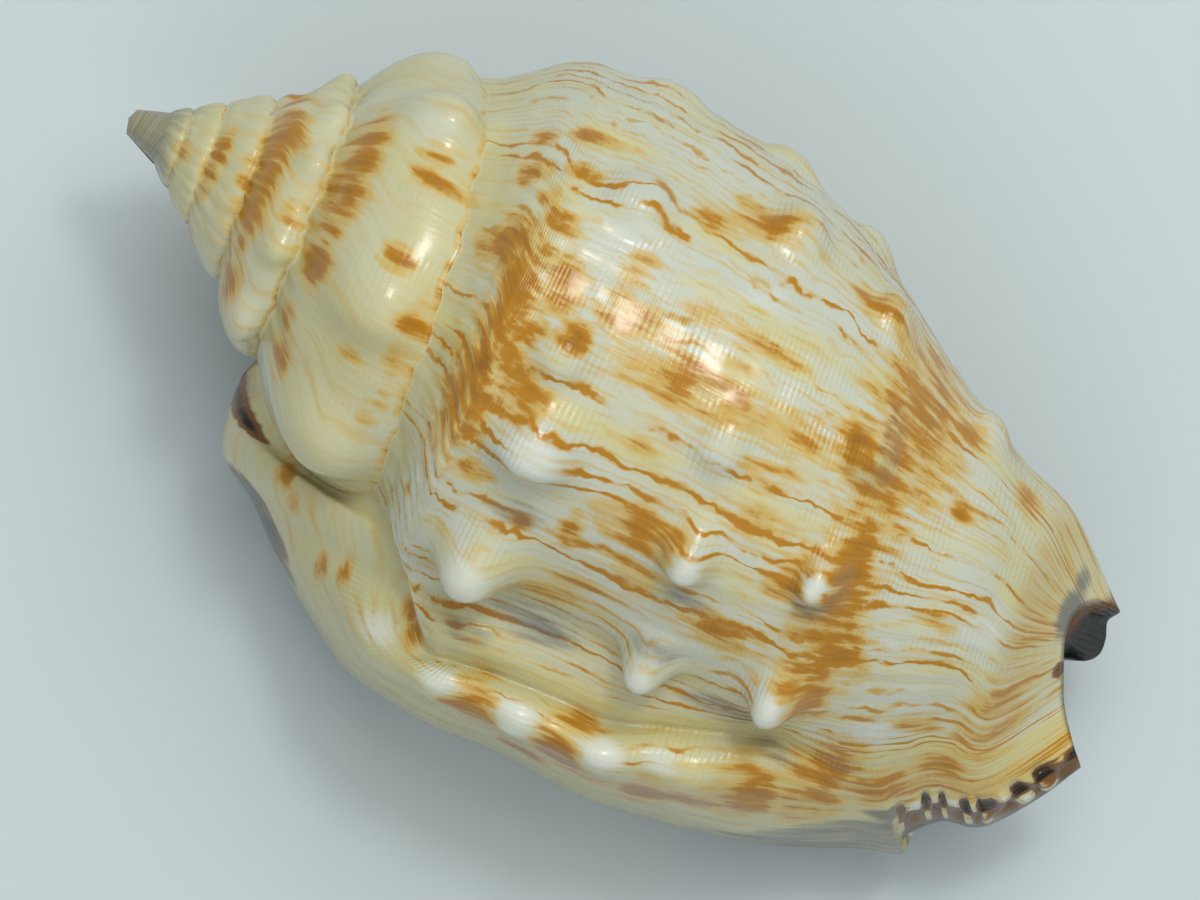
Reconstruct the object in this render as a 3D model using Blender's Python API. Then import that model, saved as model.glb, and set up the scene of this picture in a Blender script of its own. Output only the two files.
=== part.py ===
"""Strombus pipus seashell: one solid, lofted from its growth spiral, its lip rails and its hollow."""

import math

import bmesh
import bpy
import numpy as np

# Lengths are in millimetres until the mesh is made. The working frame has its origin at the apex,
# X along the coiling axis towards the canal, +Z to the back of the shell and -Y to the outer lip.
MM = 0.001

# Growth: one turn is 1.0, and whole numbers lie on the belly side (-Z). The last turns end at the lip.
GROWTH_PER_TURN = 1.51
FIRST_TURN = 0.764
MOUTH_TURN = 5.764
LIP_TURN = 6.68
BACK_TURN = 6.25
LAST_SWEEP = LIP_TURN - BACK_TURN
SMALL_TURN = 0.01

# Where the lobe of the lip meets the spire.
LOBE_X = 11.1
LOBE_RADIUS = 7.75
SPIRE_LEAN = 0.35
LEAN_END = 25.0
# Shares of the way from suture to canal over which the whorl and the lobe are eased onto their seams.
SEAM_EASE = 0.25
SEAT_EASE = 0.08

# The suture runs a little ahead of the pure spiral near the end: (turn, extra length).
SUTURE_EXTRA = [
    (0.7, 0.0), (1.7, 0.1), (4.0, 0.25), (5.0, 0.45), (5.5, 0.5), (5.764, 0.0), (6.0, 0.4),
    (6.25, 1.2), (6.5, 3.0), (6.68, 3.1), (6.9, 3.2),
]
# Spire whorls between their seams: (share of the length, share of the growth in radius). The first
# whorls are nearly straight, and those between the two turns of SWELLING take on the swollen profile.
STRAIGHT_PROFILE = [(0.0, 0.0), (0.15, 0.24), (0.35, 0.5), (0.6, 0.82), (0.8, 0.98), (1.0, 1.0)]
SWOLLEN_PROFILE = [(0.0, 0.0), (0.15, 0.46), (0.35, 0.8), (0.6, 1.02), (0.8, 1.07), (1.0, 1.0)]
SWELLING = (3.4, 4.9)
TIP_SHARE = 0.5
TIP_DEPTH = 0.12

# Last whorl a quarter turn past the belly: (share from suture to canal, length from the apex, radius).
WHORL_PROFILE = [
    (0.0, 14.8, 9.45), (0.03, 16.0, 10.2), (0.08, 17.8, 11.5), (0.14, 19.8, 12.7), (0.22, 22.2, 13.3),
    (0.30, 25.0, 13.4), (0.40, 28.5, 13.1), (0.48, 31.2, 12.6), (0.56, 34.0, 11.8), (0.64, 36.8, 10.5),
    (0.72, 39.5, 9.0), (0.79, 42.0, 7.5), (0.85, 44.6, 6.1), (0.90, 47.3, 4.8), (0.95, 50.6, 3.8),
    (1.0, 54.7, 0.6),
]
# How far the whorl slides forward, and how much it widens, from there to the lip. The change sets in
# gently between the two turns of LATE_EASE.
LATE_EASE = (6.05, 6.45)
WHORL_SLIDE = [(0.0, 4.5), (0.3, 0.4), (0.48, 4.0), (0.64, 4.8), (0.79, 4.2), (0.9, 3.0), (1.0, 0.0)]
WHORL_WIDEN = [(0.0, 0.19), (0.3, 0.09), (0.48, 0.13), (0.64, 0.22), (0.79, 0.3), (0.9, 0.5), (1.0, 0.5)]
# How much the front of the whorl flares out just before the lip.
WHORL_FLARE = [
    (0.0, 0.0), (0.64, 0.04), (0.72, 0.14), (0.79, 0.25), (0.85, 0.3), (0.9, 0.3), (0.95, 0.15), (1.0, 0.0),
]
PILLAR_START = 0.56
PILLAR_SHARE = 0.7
RIM_EASE = (0.86, 1.0)

# Edge round the canal: (turn, X, Y, Z).
CANAL_RIM = [
    (5.764, 54.2, -3.1, -3.5), (5.88, 55.0, -2.9, -3.9), (6.0, 55.5, -2.2, -3.9), (6.09, 55.4, -1.4, -3.6),
    (6.17, 55.1, -0.6, -3.1), (6.25, 55.4, 0.1, -2.4), (6.33, 54.5, 0.2, -1.4), (6.42, 53.6, -0.4, -0.4),
    (6.5, 53.3, -1.3, 0.2), (6.57, 53.5, -2.5, 0.2), (6.63, 54.0, -3.6, -0.2), (6.68, 54.6, -4.8, -0.8),
]
# Line where the lobe sits on the spire: (share to the lip edge, X, angle in degrees).
LOBE_SEAT = [
    (0.0, 19.29, 244.8), (0.12, 19.2, 250.0), (0.3, 19.0, 256.0), (0.45, 18.0, 262.0), (0.6, 16.6, 266.0),
    (0.75, 14.6, 270.0), (0.88, 12.7, 273.0), (1.0, 11.1, 275.04),
]
# Groove behind the lip band: (share from suture to canal, X, Y, Z).
LIP_GROOVE = [
    (0.0, 19.0, -11.2, 2.6), (0.05, 21.2, -12.6, 3.9), (0.12, 23.3, -14.7, 3.6), (0.2, 24.9, -16.6, 3.0),
    (0.3, 26.8, -16.5, 3.0), (0.4, 30.5, -16.1, 3.1), (0.48, 34.5, -15.9, 3.0), (0.56, 38.0, -14.8, 3.1),
    (0.64, 41.5, -13.5, 3.0), (0.74, 44.5, -12.5, 2.6), (0.84, 48.0, -10.8, 2.0), (0.92, 51.5, -8.3, 1.2),
    (1.0, 55.1, -5.6, -0.7),
]
# Free edge of the outer lip: (share from suture to canal, X, Y, Z).
LIP_EDGE = [
    (0.0, 11.1, -7.72, -0.68), (0.03, 10.5, -9.0, -2.5), (0.06, 10.7, -10.8, -4.2),
    (0.09, 11.4, -12.7, -5.7), (0.12, 13.6, -14.1, -7.0), (0.16, 16.0, -16.1, -8.2),
    (0.2, 18.8, -18.1, -9.5), (0.25, 21.8, -19.8, -10.5), (0.3, 25.5, -20.4, -11.6),
    (0.4, 30.5, -20.2, -12.1), (0.48, 35.0, -20.4, -12.2), (0.56, 38.5, -19.9, -11.9),
    (0.64, 42.5, -19.1, -10.9), (0.72, 46.5, -17.8, -9.7), (0.79, 49.8, -16.4, -8.5),
    (0.82, 51.2, -15.9, -7.9), (0.845, 50.9, -15.2, -7.3), (0.88, 52.1, -13.6, -6.0),
    (0.93, 54.4, -12.6, -4.9), (0.96, 55.9, -10.4, -3.8), (1.0, 57.2, -7.9, -3.0),
]
GROOVE_AT = 0.3
GROOVE_FALL = (0.0, -0.45, -0.9)
# Where the groove fades out towards the front, and how the plain lip there falls to its edge.
GROOVE_FADE = (0.66, 0.8)
EDGE_FALL = (0.2, -0.2, -1.5)
# How high the lip band stands above its groove, and how far the lobe falls straight instead of arching.
BAND_CREST = [(0.0, 0.0), (0.14, 0.0), (0.24, 1.1), (0.55, 1.2), (0.75, 0.8), (0.9, 0.0), (1.0, 0.0)]
LOBE_DROOP = [(0.0, 0.7), (0.1, 0.6), (0.22, 0.0), (1.0, 0.0)]
RIM_ROUND = 0.5
RIM_START = 0.86

# Knobs and swellings: (X, angle in degrees, height, half width along X, half width behind and ahead).
KNOBS = [
    (25.4, 235, 3.0, 1.7, 2.3, 1.1), (25.6, 204, 2.1, 1.9, 2.4, 1.2), (24.8, 184, 1.0, 1.3, 1.8, 1.0),
    (24.9, 148, 1.2, 1.6, 1.8, 1.2), (23.9, 100, 0.6, 1.5, 2.0, 1.6), (35.2, 243, 2.5, 1.15, 1.6, 0.85),
    (34.7, 212, 1.9, 1.1, 1.7, 0.8), (33.8, 187, 0.8, 1.2, 2.0, 1.1), (32.7, 133, 1.4, 1.3, 2.2, 1.3),
    (30.8, 97, 0.8, 1.4, 2.0, 1.4), (41.7, 239, 2.0, 1.1, 1.5, 0.85), (41.1, 206, 1.7, 0.95, 1.8, 0.8),
    (40.5, 173, 1.3, 1.0, 2.0, 1.2), (38.7, 133, 1.2, 1.1, 2.0, 1.3), (36.4, 97, 0.8, 1.1, 1.8, 1.3),
    (45.7, 128, 0.8, 1.0, 1.6, 1.2), (18.8, 95, 0.35, 1.6, 3.0, 3.0), (12.8, 97, 0.5, 2.2, 1.6, 1.4),
    (14.2, 137, 1.3, 2.0, 1.5, 1.3), (15.1, 196, 1.2, 2.4, 2.2, 1.5), (15.4, 240, 1.5, 2.6, 2.2, 1.8),
    (9.0, 90, 0.5, 0.7, 1.0, 0.9), (9.6, 135, 0.5, 0.9, 0.8, 0.8), (9.7, 162, 0.5, 0.9, 0.8, 0.8),
    (9.7, 199, 0.6, 0.9, 0.9, 0.9), (9.5, 238, 0.9, 1.1, 1.4, 1.1), (7.3, 96, -1.3, 0.6, 1.6, 1.6),
]
# A knob's foot: its share of the height, and how fast it and the top fall away.
KNOB_FOOT = 0.22
FOOT_FALL = 0.35
TOP_FALL = 0.8
KNOB_DEPTH = 2.0
# Lumps along the lip: (X, Y, Z, height, half width along X, half width across).
LIP_BUMPS = [
    (21.8, -17.6, 1.5, 0.8, 1.6, 1.3), (26.0, -18.2, 3.2, 0.9, 1.4, 1.3), (30.6, -18.3, 3.4, 1.0, 1.4, 1.3),
    (35.2, -17.8, 3.7, 1.1, 1.4, 1.3), (39.6, -17.0, 3.2, 0.8, 1.4, 1.3), (26.2, -15.5, 5.0, 1.5, 2.4, 0.9),
]
BUMP_WAY = (0.0, -0.5, 0.86)
# Callus pad of the belly, and the level at which it is worn flat.
BELLY_PAD = (27.5, 357.0, 0.9, 5.5, 5.0, 5.0)
FLAT_LEVEL = -11.75

# Hollow: the middle of the opening, as (share from suture to canal, Y, Z), and its walls.
OPENING_MIDDLE = [
    (0.0, -11.0, -3.2), (0.12, -12.2, -4.4), (0.3, -13.4, -5.4), (0.56, -12.4, -5.6), (0.72, -10.6, -5.0),
    (0.85, -8.0, -4.0), (1.0, -4.4, -2.8),
]
OPENING_X = (14.0, 52.5)
TUBE_MIDDLE = 0.78
CANAL_MIDDLE = (52.6, -2.1, -2.5)
CANAL_EASE = (0.8, 0.95)
FRONT_EASE = (0.85, 1.0)
MOST_WALL = 0.42
LIP_WALL = [(0.0, 1.5), (0.3, 1.7), (0.6, 2.7), (0.85, 2.2), (1.0, 1.3)]
FRONT_WALL = 0.9
THIN_EASE = (0.74, 0.88)
WHORL_WALL = 1.5
CALLUS = 0.2
CALLUS_EASE = 0.05
SEAT_WALL = 1.3
SEAT_WALL_EASE = 0.3
SEAT_BACK = 0.006
RIM_GAP = 0.25
CORNER_END = 0.12
CANAL_BULGE = 0.12
# Front edge of a section: the shares at which the lip's part and the canal's roof end.
LIP_PART = 0.3
ROOF_PART = 0.7
ROOF_TURN = 6.36

# Sections of the hollow from the rim inwards: (lip share or turns back, reach to the canal, closing share).
HOLLOW_RINGS = [
    (1.0, 0.985, 0.0), (0.92, 0.97, 0.05), (0.8, 0.96, 0.12), (0.66, 0.945, 0.22), (0.5, 0.93, 0.35),
    (0.34, 0.92, 0.48), (0.18, 0.91, 0.6), (0.05, 0.9, 0.72), (-0.03, 0.89, 0.84), (-0.07, 0.875, 0.94),
    (-0.12, 0.85, 1.0), (-0.19, 0.82, 1.0), (-0.27, 0.79, 1.0), (-0.36, 0.76, 1.0), (-0.46, 0.74, 1.0),
    (-0.56, 0.72, 1.0),
]

# Mesh steps.
BODY_STEPS = 44
WING_SHARES = [0.08, 0.16, 0.24, 0.3, 0.38, 0.46, 0.56, 0.67, 0.78, 0.88, 0.95, 1.0]
WHORL_ROWS = 44
SPIRE_TURNS = [(3, 12), (4, 16), (5, 22), (7, 28), (11, 36)]
RIM_CHAIN = 14
WALL_ROWS = 22
TRACE_STEPS = 400

SHELL_COLOUR = (0.78, 0.68, 0.46, 1.0)
SHELL_ROUGHNESS = 0.28


def spline(points, at):
    """Smooth curve through (knot, value, ...) points, as cubic pieces with averaged slopes."""
    table = np.array(points, float)
    knots, values = table[:, 0], table[:, 1:]
    steps = np.diff(knots)[:, None]
    chords = np.diff(values, axis=0) / steps
    slopes = np.empty_like(values)
    slopes[0], slopes[-1] = chords[0], chords[-1]
    slopes[1:-1] = (chords[:-1] * steps[1:] + chords[1:] * steps[:-1]) / (steps[1:] + steps[:-1])
    at = np.asarray(at, float)
    piece = np.clip(np.searchsorted(knots, at, "right") - 1, 0, len(knots) - 2)
    step = steps[piece][..., 0]
    t = ((at - knots[piece]) / step)[..., None]
    step = step[..., None]
    found = (
        values[piece] * (2 * t**3 - 3 * t**2 + 1)
        + slopes[piece] * step * (t**3 - 2 * t**2 + t)
        + values[piece + 1] * (3 * t**2 - 2 * t**3)
        + slopes[piece + 1] * step * (t**3 - t**2)
    )
    return found[..., 0] if found.shape[-1] == 1 else found


def smooth(t):
    t = np.clip(t, 0, 1)
    return t * t * (3 - 2 * t)


def between(value, limits):
    """Smooth share of the way from the first limit to the second."""
    return smooth((value - limits[0]) / (limits[1] - limits[0]))


def placed(x, radius, turn):
    """Points at these lengths and radii, at the angles of these turns."""
    angle = 2 * math.pi * turn
    lean = SPIRE_LEAN * (1 - smooth(x / LEAN_END))
    return np.stack([x, radius * np.sin(angle) + lean, -radius * np.cos(angle)], axis=-1)


def suture(turn):
    """(length, radius) of the seam between whorls."""
    grown = GROWTH_PER_TURN ** (turn - MOUTH_TURN)
    return LOBE_X * grown + spline(SUTURE_EXTRA, turn), LOBE_RADIUS * grown


def spire_radius(x, turn):
    """Radius of a spire whorl, from one seam to the next."""
    x_here, r_here = suture(turn)
    x_next, r_next = suture(turn + 1)
    share = np.clip((x - x_here) / (x_next - x_here), 0, 1)
    straight = spline(STRAIGHT_PROFILE, share)
    swollen = spline(SWOLLEN_PROFILE, share)
    return r_here + (r_next - r_here) * (straight + (swollen - straight) * between(turn, SWELLING))


def whorl(w, turn):
    """(length, radius) of the last whorl before its canal rim is fitted."""
    x_back, r_back = np.moveaxis(spline(WHORL_PROFILE, w), -1, 0)
    grown = GROWTH_PER_TURN ** (turn - BACK_TURN)
    front = smooth((w - PILLAR_START) / (1 - PILLAR_START))
    slim = PILLAR_SHARE + (1 - PILLAR_SHARE) * np.clip((turn - MOUTH_TURN) / (BACK_TURN - MOUTH_TURN), 0, 1)
    x_early = x_back * (grown + (1 - grown) * front)
    r_early = r_back * (grown * (1 - front) + slim * front)
    swept = (turn - BACK_TURN) / LAST_SWEEP
    x_late = x_back + spline(WHORL_SLIDE, w) * swept
    flared = spline(WHORL_FLARE, w) * np.clip(swept, 0, 1) ** 3
    r_late = r_back * (1 + spline(WHORL_WIDEN, w) * swept + flared)
    late = between(turn, LATE_EASE)
    x = x_early + (x_late - x_early) * late
    r = r_early + (r_late - r_early) * late
    return x, r


def whorl_points(w, turn):
    """The last whorl in space, meeting the seam at w = 0 and the canal rim at w = 1."""
    w, turn = np.broadcast_arrays(np.asarray(w, float), np.asarray(turn, float))
    x, r = whorl(w, turn)
    x_end, r_end = whorl(np.zeros_like(w), turn)
    x_seam, r_seam = suture(turn)
    near = 1 - smooth(w / SEAM_EASE)
    points = placed(x + (x_seam - x_end) * near, r + (r_seam - r_end) * near, turn)
    x_tip, r_tip = whorl(np.ones_like(w), turn)
    rim = spline(CANAL_RIM, np.clip(turn, MOUTH_TURN, LIP_TURN))
    tip = placed(x_tip, r_tip, turn)
    return points + (rim - tip) * between(w, RIM_EASE)[..., None]


def unit(vectors):
    return vectors / np.maximum(np.linalg.norm(vectors, axis=-1, keepdims=True), 1e-9)


def opening_middle(w):
    """The middle line of the opening, between lip and columella."""
    middle = spline(OPENING_MIDDLE, w)
    x = spline([point[:2] for point in LIP_EDGE], w)
    return np.concatenate([np.clip(x, *OPENING_X)[..., None], middle], axis=-1)


def hermite(start, end, leaving, arriving, t):
    """Cubic curve between two points with these slopes at its ends."""
    return (
        start * (2 * t**3 - 3 * t**2 + 1)
        + leaving * (t**3 - 2 * t**2 + t)
        + end * (3 * t**2 - 2 * t**3)
        + arriving * (t**3 - t**2)
    )


def wing_points(w, u):
    """The flared lip from the whorl (u = 0) to its edge (u = 1).

    Behind, it falls into the groove and rises over the band. In front it is one plain curve.
    """
    w, u = np.broadcast_arrays(np.asarray(w, float), np.asarray(u, float))
    start = whorl_points(w, LIP_TURN)
    groove = spline(LIP_GROOVE, w)
    edge = spline(LIP_EDGE, w)
    heading = unit(start - whorl_points(w, LIP_TURN - SMALL_TURN))
    reach = np.linalg.norm(groove - start, axis=-1, keepdims=True)
    t = np.clip(u / GROOVE_AT, 0, 1)[..., None]
    falling = hermite(start, groove, heading * reach, np.array(GROOVE_FALL) * reach, t)
    v = np.clip((u - GROOVE_AT) / (1 - GROOVE_AT), 0, 1)
    droop = spline(LOBE_DROOP, w)
    out = np.sin(v * math.pi / 2)
    down = (1 - np.cos(v * math.pi / 2)) * (1 - droop) + v * droop
    arch = groove + (edge - groove) * np.stack([out, out, down], axis=-1)
    arch[..., 2] += spline(BAND_CREST, w) * 4 * v * (1 - v) ** 2
    banded = np.where((u <= GROOVE_AT)[..., None], falling, arch)
    span = np.linalg.norm(edge - start, axis=-1, keepdims=True)
    plain = hermite(start, edge, heading * span, np.array(EDGE_FALL) * span, u[..., None])
    points = banded + (plain - banded) * between(w, GROOVE_FADE)[..., None]
    curl = np.clip((v - RIM_START) / (1 - RIM_START), 0, 1)
    inward = RIM_ROUND * (1 - np.sqrt(1 - curl**2))
    return points + unit(opening_middle(w) - edge) * inward[..., None]


def seat_points(u):
    """The line where the lobe of the lip sits on the spire."""
    x, degrees = np.moveaxis(spline(LOBE_SEAT, u), -1, 0)
    turn = 5 + degrees / 360
    return placed(x, spire_radius(x, turn), turn)


def seated_wing(w, u):
    """The wing with its first growth line pulled onto the seat on the spire."""
    w, u = np.broadcast_arrays(np.asarray(w, float), np.asarray(u, float))
    points = wing_points(w, u)
    miss = seat_points(u) - wing_points(np.zeros_like(w), u)
    return points + miss * (1 - smooth(w / SEAT_EASE))[..., None]


def surface_radius(x, degrees):
    """Radius of the smooth shell at this length and angle, on whichever whorl shows there."""
    turn = 6 + degrees / 360
    if turn > LIP_TURN:
        turn -= 1
    if x < suture(turn)[0]:
        while x < suture(turn)[0]:
            turn -= 1
        return spire_radius(x, turn)
    w = np.linspace(0, 1, TRACE_STEPS)
    x_all, r_all = whorl(w, np.full_like(w, turn))
    return np.interp(x, x_all, r_all)


def knob_shape(distance):
    """A flat-topped bell on a wider, lower one: 1 at the middle, about half one half width away."""
    top = np.exp(-TOP_FALL * distance**3)
    foot = np.exp(-FOOT_FALL * distance**2)
    return (1 - KNOB_FOOT) * top + KNOB_FOOT * foot


def raised(points):
    """Knobs and swellings added to points of the outer surface."""
    moved = points.copy()
    for x, degrees, height, wide_x, wide_behind, wide_ahead in [*KNOBS, BELLY_PAD]:
        angle = math.radians(degrees)
        outward = np.array([0.0, math.sin(angle), -math.cos(angle)])
        onward = np.array([0.0, math.cos(angle), math.sin(angle)])
        off = points - placed(np.array(x), surface_radius(x, degrees), degrees / 360)
        round_off = off @ onward
        wide_round = np.where(round_off > 0, wide_ahead, wide_behind)
        depth = (off @ outward) / (KNOB_DEPTH * wide_behind)
        distance = np.sqrt((off[..., 0] / wide_x) ** 2 + (round_off / wide_round) ** 2 + depth**2)
        moved += (height * knob_shape(distance))[..., None] * outward
    for x, y, z, height, wide_x, wide in LIP_BUMPS:
        off = (points - np.array([x, y, z])) / np.array([wide_x, wide, wide])
        lift = height * np.exp(-0.5 * (off**2).sum(axis=-1))
        moved += lift[..., None] * np.array(BUMP_WAY)
    return moved


class Skin:
    """Collects points and faces of the one closed surface."""

    def __init__(self):
        self.blocks = []
        self.faces = []
        self.count = 0

    def add(self, points):
        """Stores points of any grid shape and returns their indices in that shape."""
        points = np.asarray(points, float)
        index = np.arange(self.count, self.count + points[..., 0].size).reshape(points.shape[:-1])
        self.blocks.append(points.reshape(-1, 3))
        self.count += index.size
        return index

    def point_array(self):
        return np.concatenate(self.blocks)

    def quads(self, index):
        """Faces of a grid of indices."""
        corners = (index[:-1, :-1], index[1:, :-1], index[1:, 1:], index[:-1, 1:])
        self.faces += np.stack([corner.ravel() for corner in corners], axis=-1).tolist()

    def bridge(self, first, second):
        """Triangles between two chains that run side by side, always across the shorter diagonal."""
        points = self.point_array()
        i = j = 0
        while i < len(first) - 1 or j < len(second) - 1:
            ends = j == len(second) - 1
            if not ends and i < len(first) - 1:
                ahead = np.linalg.norm(points[first[i + 1]] - points[second[j]])
                across = np.linalg.norm(points[first[i]] - points[second[j + 1]])
                ends = ahead < across
            if ends:
                self.faces.append([first[i], first[i + 1], second[j]])
                i += 1
            else:
                self.faces.append([first[i], second[j + 1], second[j]])
                j += 1

    def fan(self, chain, middle):
        for a, b in zip(chain[:-1], chain[1:]):
            self.faces.append([a, b, middle])


def chained(*parts):
    return [int(index) for part in parts for index in np.atleast_1d(part)]


def spire_grid(turn, rows, steps):
    """Points of one whole spire turn, without its front seam and its closing column."""
    share = (np.arange(rows) / rows)[:, None]
    turns = (turn + np.arange(steps) / steps)[None, :]
    x_here, _ = suture(turns)
    x_next, _ = suture(turns + 1)
    x = x_here + (x_next - x_here) * share
    turns = np.broadcast_to(turns, x.shape)
    return raised(placed(x, spire_radius(x, turns), turns))


def seated_spire_grid(rows, steps):
    """The last spire turn, whose front seam ends in the seat of the lobe."""
    share = (np.arange(rows) / rows)[:, None]
    free = np.arange(steps) / steps * (LIP_TURN - MOUTH_TURN) + MOUTH_TURN - 1
    shares = np.array([0.0, *WING_SHARES[:-1]])
    covered = LIP_TURN - 1 + shares * (MOUTH_TURN - LIP_TURN + 1)
    turns = np.concatenate([free, covered])
    x_here, _ = suture(turns)
    x_next, _ = suture(turns + 1)
    seat = spline(LOBE_SEAT, shares)
    x_next[steps:] = seat[:, 0]
    turn_next = turns.copy()
    turn_next[steps:] = 5 + seat[:, 1] / 360
    x = x_here + (x_next - x_here) * share
    turn = turns + (turn_next - turns) * share
    return raised(placed(x, spire_radius(x, turn), turn))


def add_spire(skin, whorl_index, wing_index):
    """All turns behind the last whorl, joined along their seams."""
    corner = whorl_index[0, 0]
    grids = []
    for number, (rows, steps) in enumerate(SPIRE_TURNS[:-1]):
        grids.append(skin.add(spire_grid(FIRST_TURN + number, rows, steps)))
    grids.append(skin.add(seated_spire_grid(*SPIRE_TURNS[-1])))
    for grid in grids:
        skin.quads(grid)
    starts = [grid[0, 0] for grid in grids[2:]] + [corner]
    for here, after, end in zip(grids[:-1], grids[1:], starts):
        skin.bridge(here[-1], chained(after[0], end))
        skin.bridge(here[:, -1], chained(after[:, 0], end))
    front = chained(whorl_index[0], wing_index[0])
    skin.bridge(grids[-1][-1], front)
    skin.fan(grids[-1][:, -1], corner)
    chain = chained(grids[0][0], grids[1][0, 0], grids[0][::-1, 0])
    tip = np.array([0.0, SPIRE_LEAN, 0.0])
    from_tip = skin.point_array()[chain[:-1]] - tip
    blunt = skin.add(tip + from_tip * np.array([TIP_DEPTH, TIP_SHARE, TIP_SHARE]))
    skin.quads(np.array([chain, chained(blunt, blunt[0])]))
    skin.fan(chained(blunt, blunt[0]), int(skin.add(tip)))


def inside(points, middle, thickness):
    """Points moved this far towards the middle of the hollow, though never past a set share of the way."""
    away = middle - points
    distance = np.linalg.norm(away, axis=-1)
    share = np.minimum(thickness / distance, MOST_WALL)
    return points + away * share[..., None]


def tube_middle(w, turn):
    """The middle of the whorl's tube, which turns into the middle of the canal at the front."""
    tube = whorl_points(w, turn) * np.array([1.0, TUBE_MIDDLE, TUBE_MIDDLE])
    return tube + (np.array(CANAL_MIDDLE) - tube) * between(w, CANAL_EASE)[..., None]


def wing_side(w, u):
    """Inner face of the lip."""
    outer = seated_wing(w, u)
    tube = tube_middle(w, LIP_TURN)
    share = np.broadcast_to(np.asarray(u, float), outer.shape[:-1])[..., None]
    middle = tube + (opening_middle(w) - tube) * share
    middle[..., 0] = outer[..., 0] + (middle[..., 0] - outer[..., 0]) * between(w, FRONT_EASE)
    thick = spline(LIP_WALL, u)
    thick = thick + (FRONT_WALL - thick) * between(w, THIN_EASE)
    return inside(outer, middle, thick)


def whorl_side(w, turn):
    """Inner face of the last whorl."""
    thick = WHORL_WALL + (FRONT_WALL - WHORL_WALL) * between(w, CANAL_EASE)
    return inside(whorl_points(w, turn), tube_middle(w, turn), thick)


def rim_side(share, w, u, end):
    """Inner face along the front edge: the lip's part, the canal's roof, then straight to the columella."""
    w = np.full_like(share, w)
    lip = wing_side(w, u * (1 - np.clip(share / LIP_PART, 0, 1)))
    roofed = np.clip((share - LIP_PART) / (ROOF_PART - LIP_PART), 0, 1)
    canal = whorl_side(w, LIP_TURN - (LIP_TURN - ROOF_TURN) * roofed)
    canal += (end - canal) * np.clip((share - ROOF_PART) / (1 - ROOF_PART), 0, 1)[:, None]
    return np.where((share < LIP_PART)[:, None], lip, canal)


def pillar_points(w, turn):
    """The columella and the whorl below the callus, as the hollow meets them."""
    points = whorl_points(w, turn)
    lift = CALLUS * smooth((MOUTH_TURN - turn) / CALLUS_EASE)
    return points + unit(points * np.array([0.0, 1.0, 1.0])) * lift[..., None]


def ring_points(u, w_top, share):
    """One closed section of the hollow. u above 0 lies in the lip, and below 0 it counts turns back."""
    rows = np.linspace(0, w_top, WHORL_ROWS + 1)
    if u >= 0:
        face, at = wing_side, u
        x_seat, degrees = spline(LOBE_SEAT, u)
        back = 5 + degrees / 360 - SEAT_BACK
        clear = SEAT_WALL * smooth((1 - u) / SEAT_WALL_EASE) + RIM_GAP
    else:
        face, at = whorl_side, LIP_TURN + u
        back = LIP_TURN + u - 1
        x_seat = suture(back + 1)[0]
        clear = SEAT_WALL + RIM_GAP
    outer = face(rows, np.full_like(rows, at))
    dense = np.linspace(0, 1, TRACE_STEPS)
    x_dense = whorl_points(dense, np.full_like(dense, back))[:, 0]
    w_seat = np.interp(x_seat + clear, x_dense, dense)
    w_front = min(w_top, np.interp(outer[-1, 0], x_dense, dense))
    wall = np.linspace(w_front, w_seat, WALL_ROWS + 1)
    inner = pillar_points(wall, np.full_like(wall, back))
    corner = (1 - np.clip(rows / CORNER_END, 0, 1))[:, None]
    kept = face(np.maximum(rows, CORNER_END), np.full_like(rows, at))
    outer = kept + (inner[-1] - kept) * corner
    arc = np.linspace(0, 1, RIM_CHAIN + 2)[1:-1]
    across = outer[-1] + (inner[0] - outer[-1]) * arc[:, None]
    bulge = CANAL_BULGE * np.linalg.norm(inner[0] - outer[-1]) * np.sin(arc * math.pi)
    local = across + bulge[:, None] * np.array([1.0, 0.0, 0.0])
    wide = rim_side(arc, w_top, max(u, 0.0), inner[0])
    chain = wide + (local - wide) * share
    return np.concatenate([outer, chain, inner[:-1]])


def add_hollow(skin, whorl_index, wing_index):
    """The aperture and the hollow behind it, as closed sections joined to the free edge."""
    edge = chained(whorl_index[0, 0], wing_index[1:, -1])
    front = chained(wing_index[-1, ::-1], whorl_index[-1, ::-1])
    wall = chained(whorl_index[::-1, 0])
    rings = [skin.add(ring_points(*stage)) for stage in HOLLOW_RINGS]
    corner = WHORL_ROWS
    far = WHORL_ROWS + RIM_CHAIN + 1
    first = rings[0]
    skin.quads(np.array([edge, chained(first[: corner + 1])]))
    skin.bridge(front, chained(first[corner : far + 1]))
    skin.bridge(wall, chained(first[far:], first[0]))
    for near, deep in zip(rings[:-1], rings[1:]):
        skin.quads(np.array([chained(near, near[0]), chained(deep, deep[0])]))
    last = rings[-1]
    middle = skin.add(skin.point_array()[last].mean(axis=0))
    skin.fan(chained(last, last[0]), int(middle))


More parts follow.
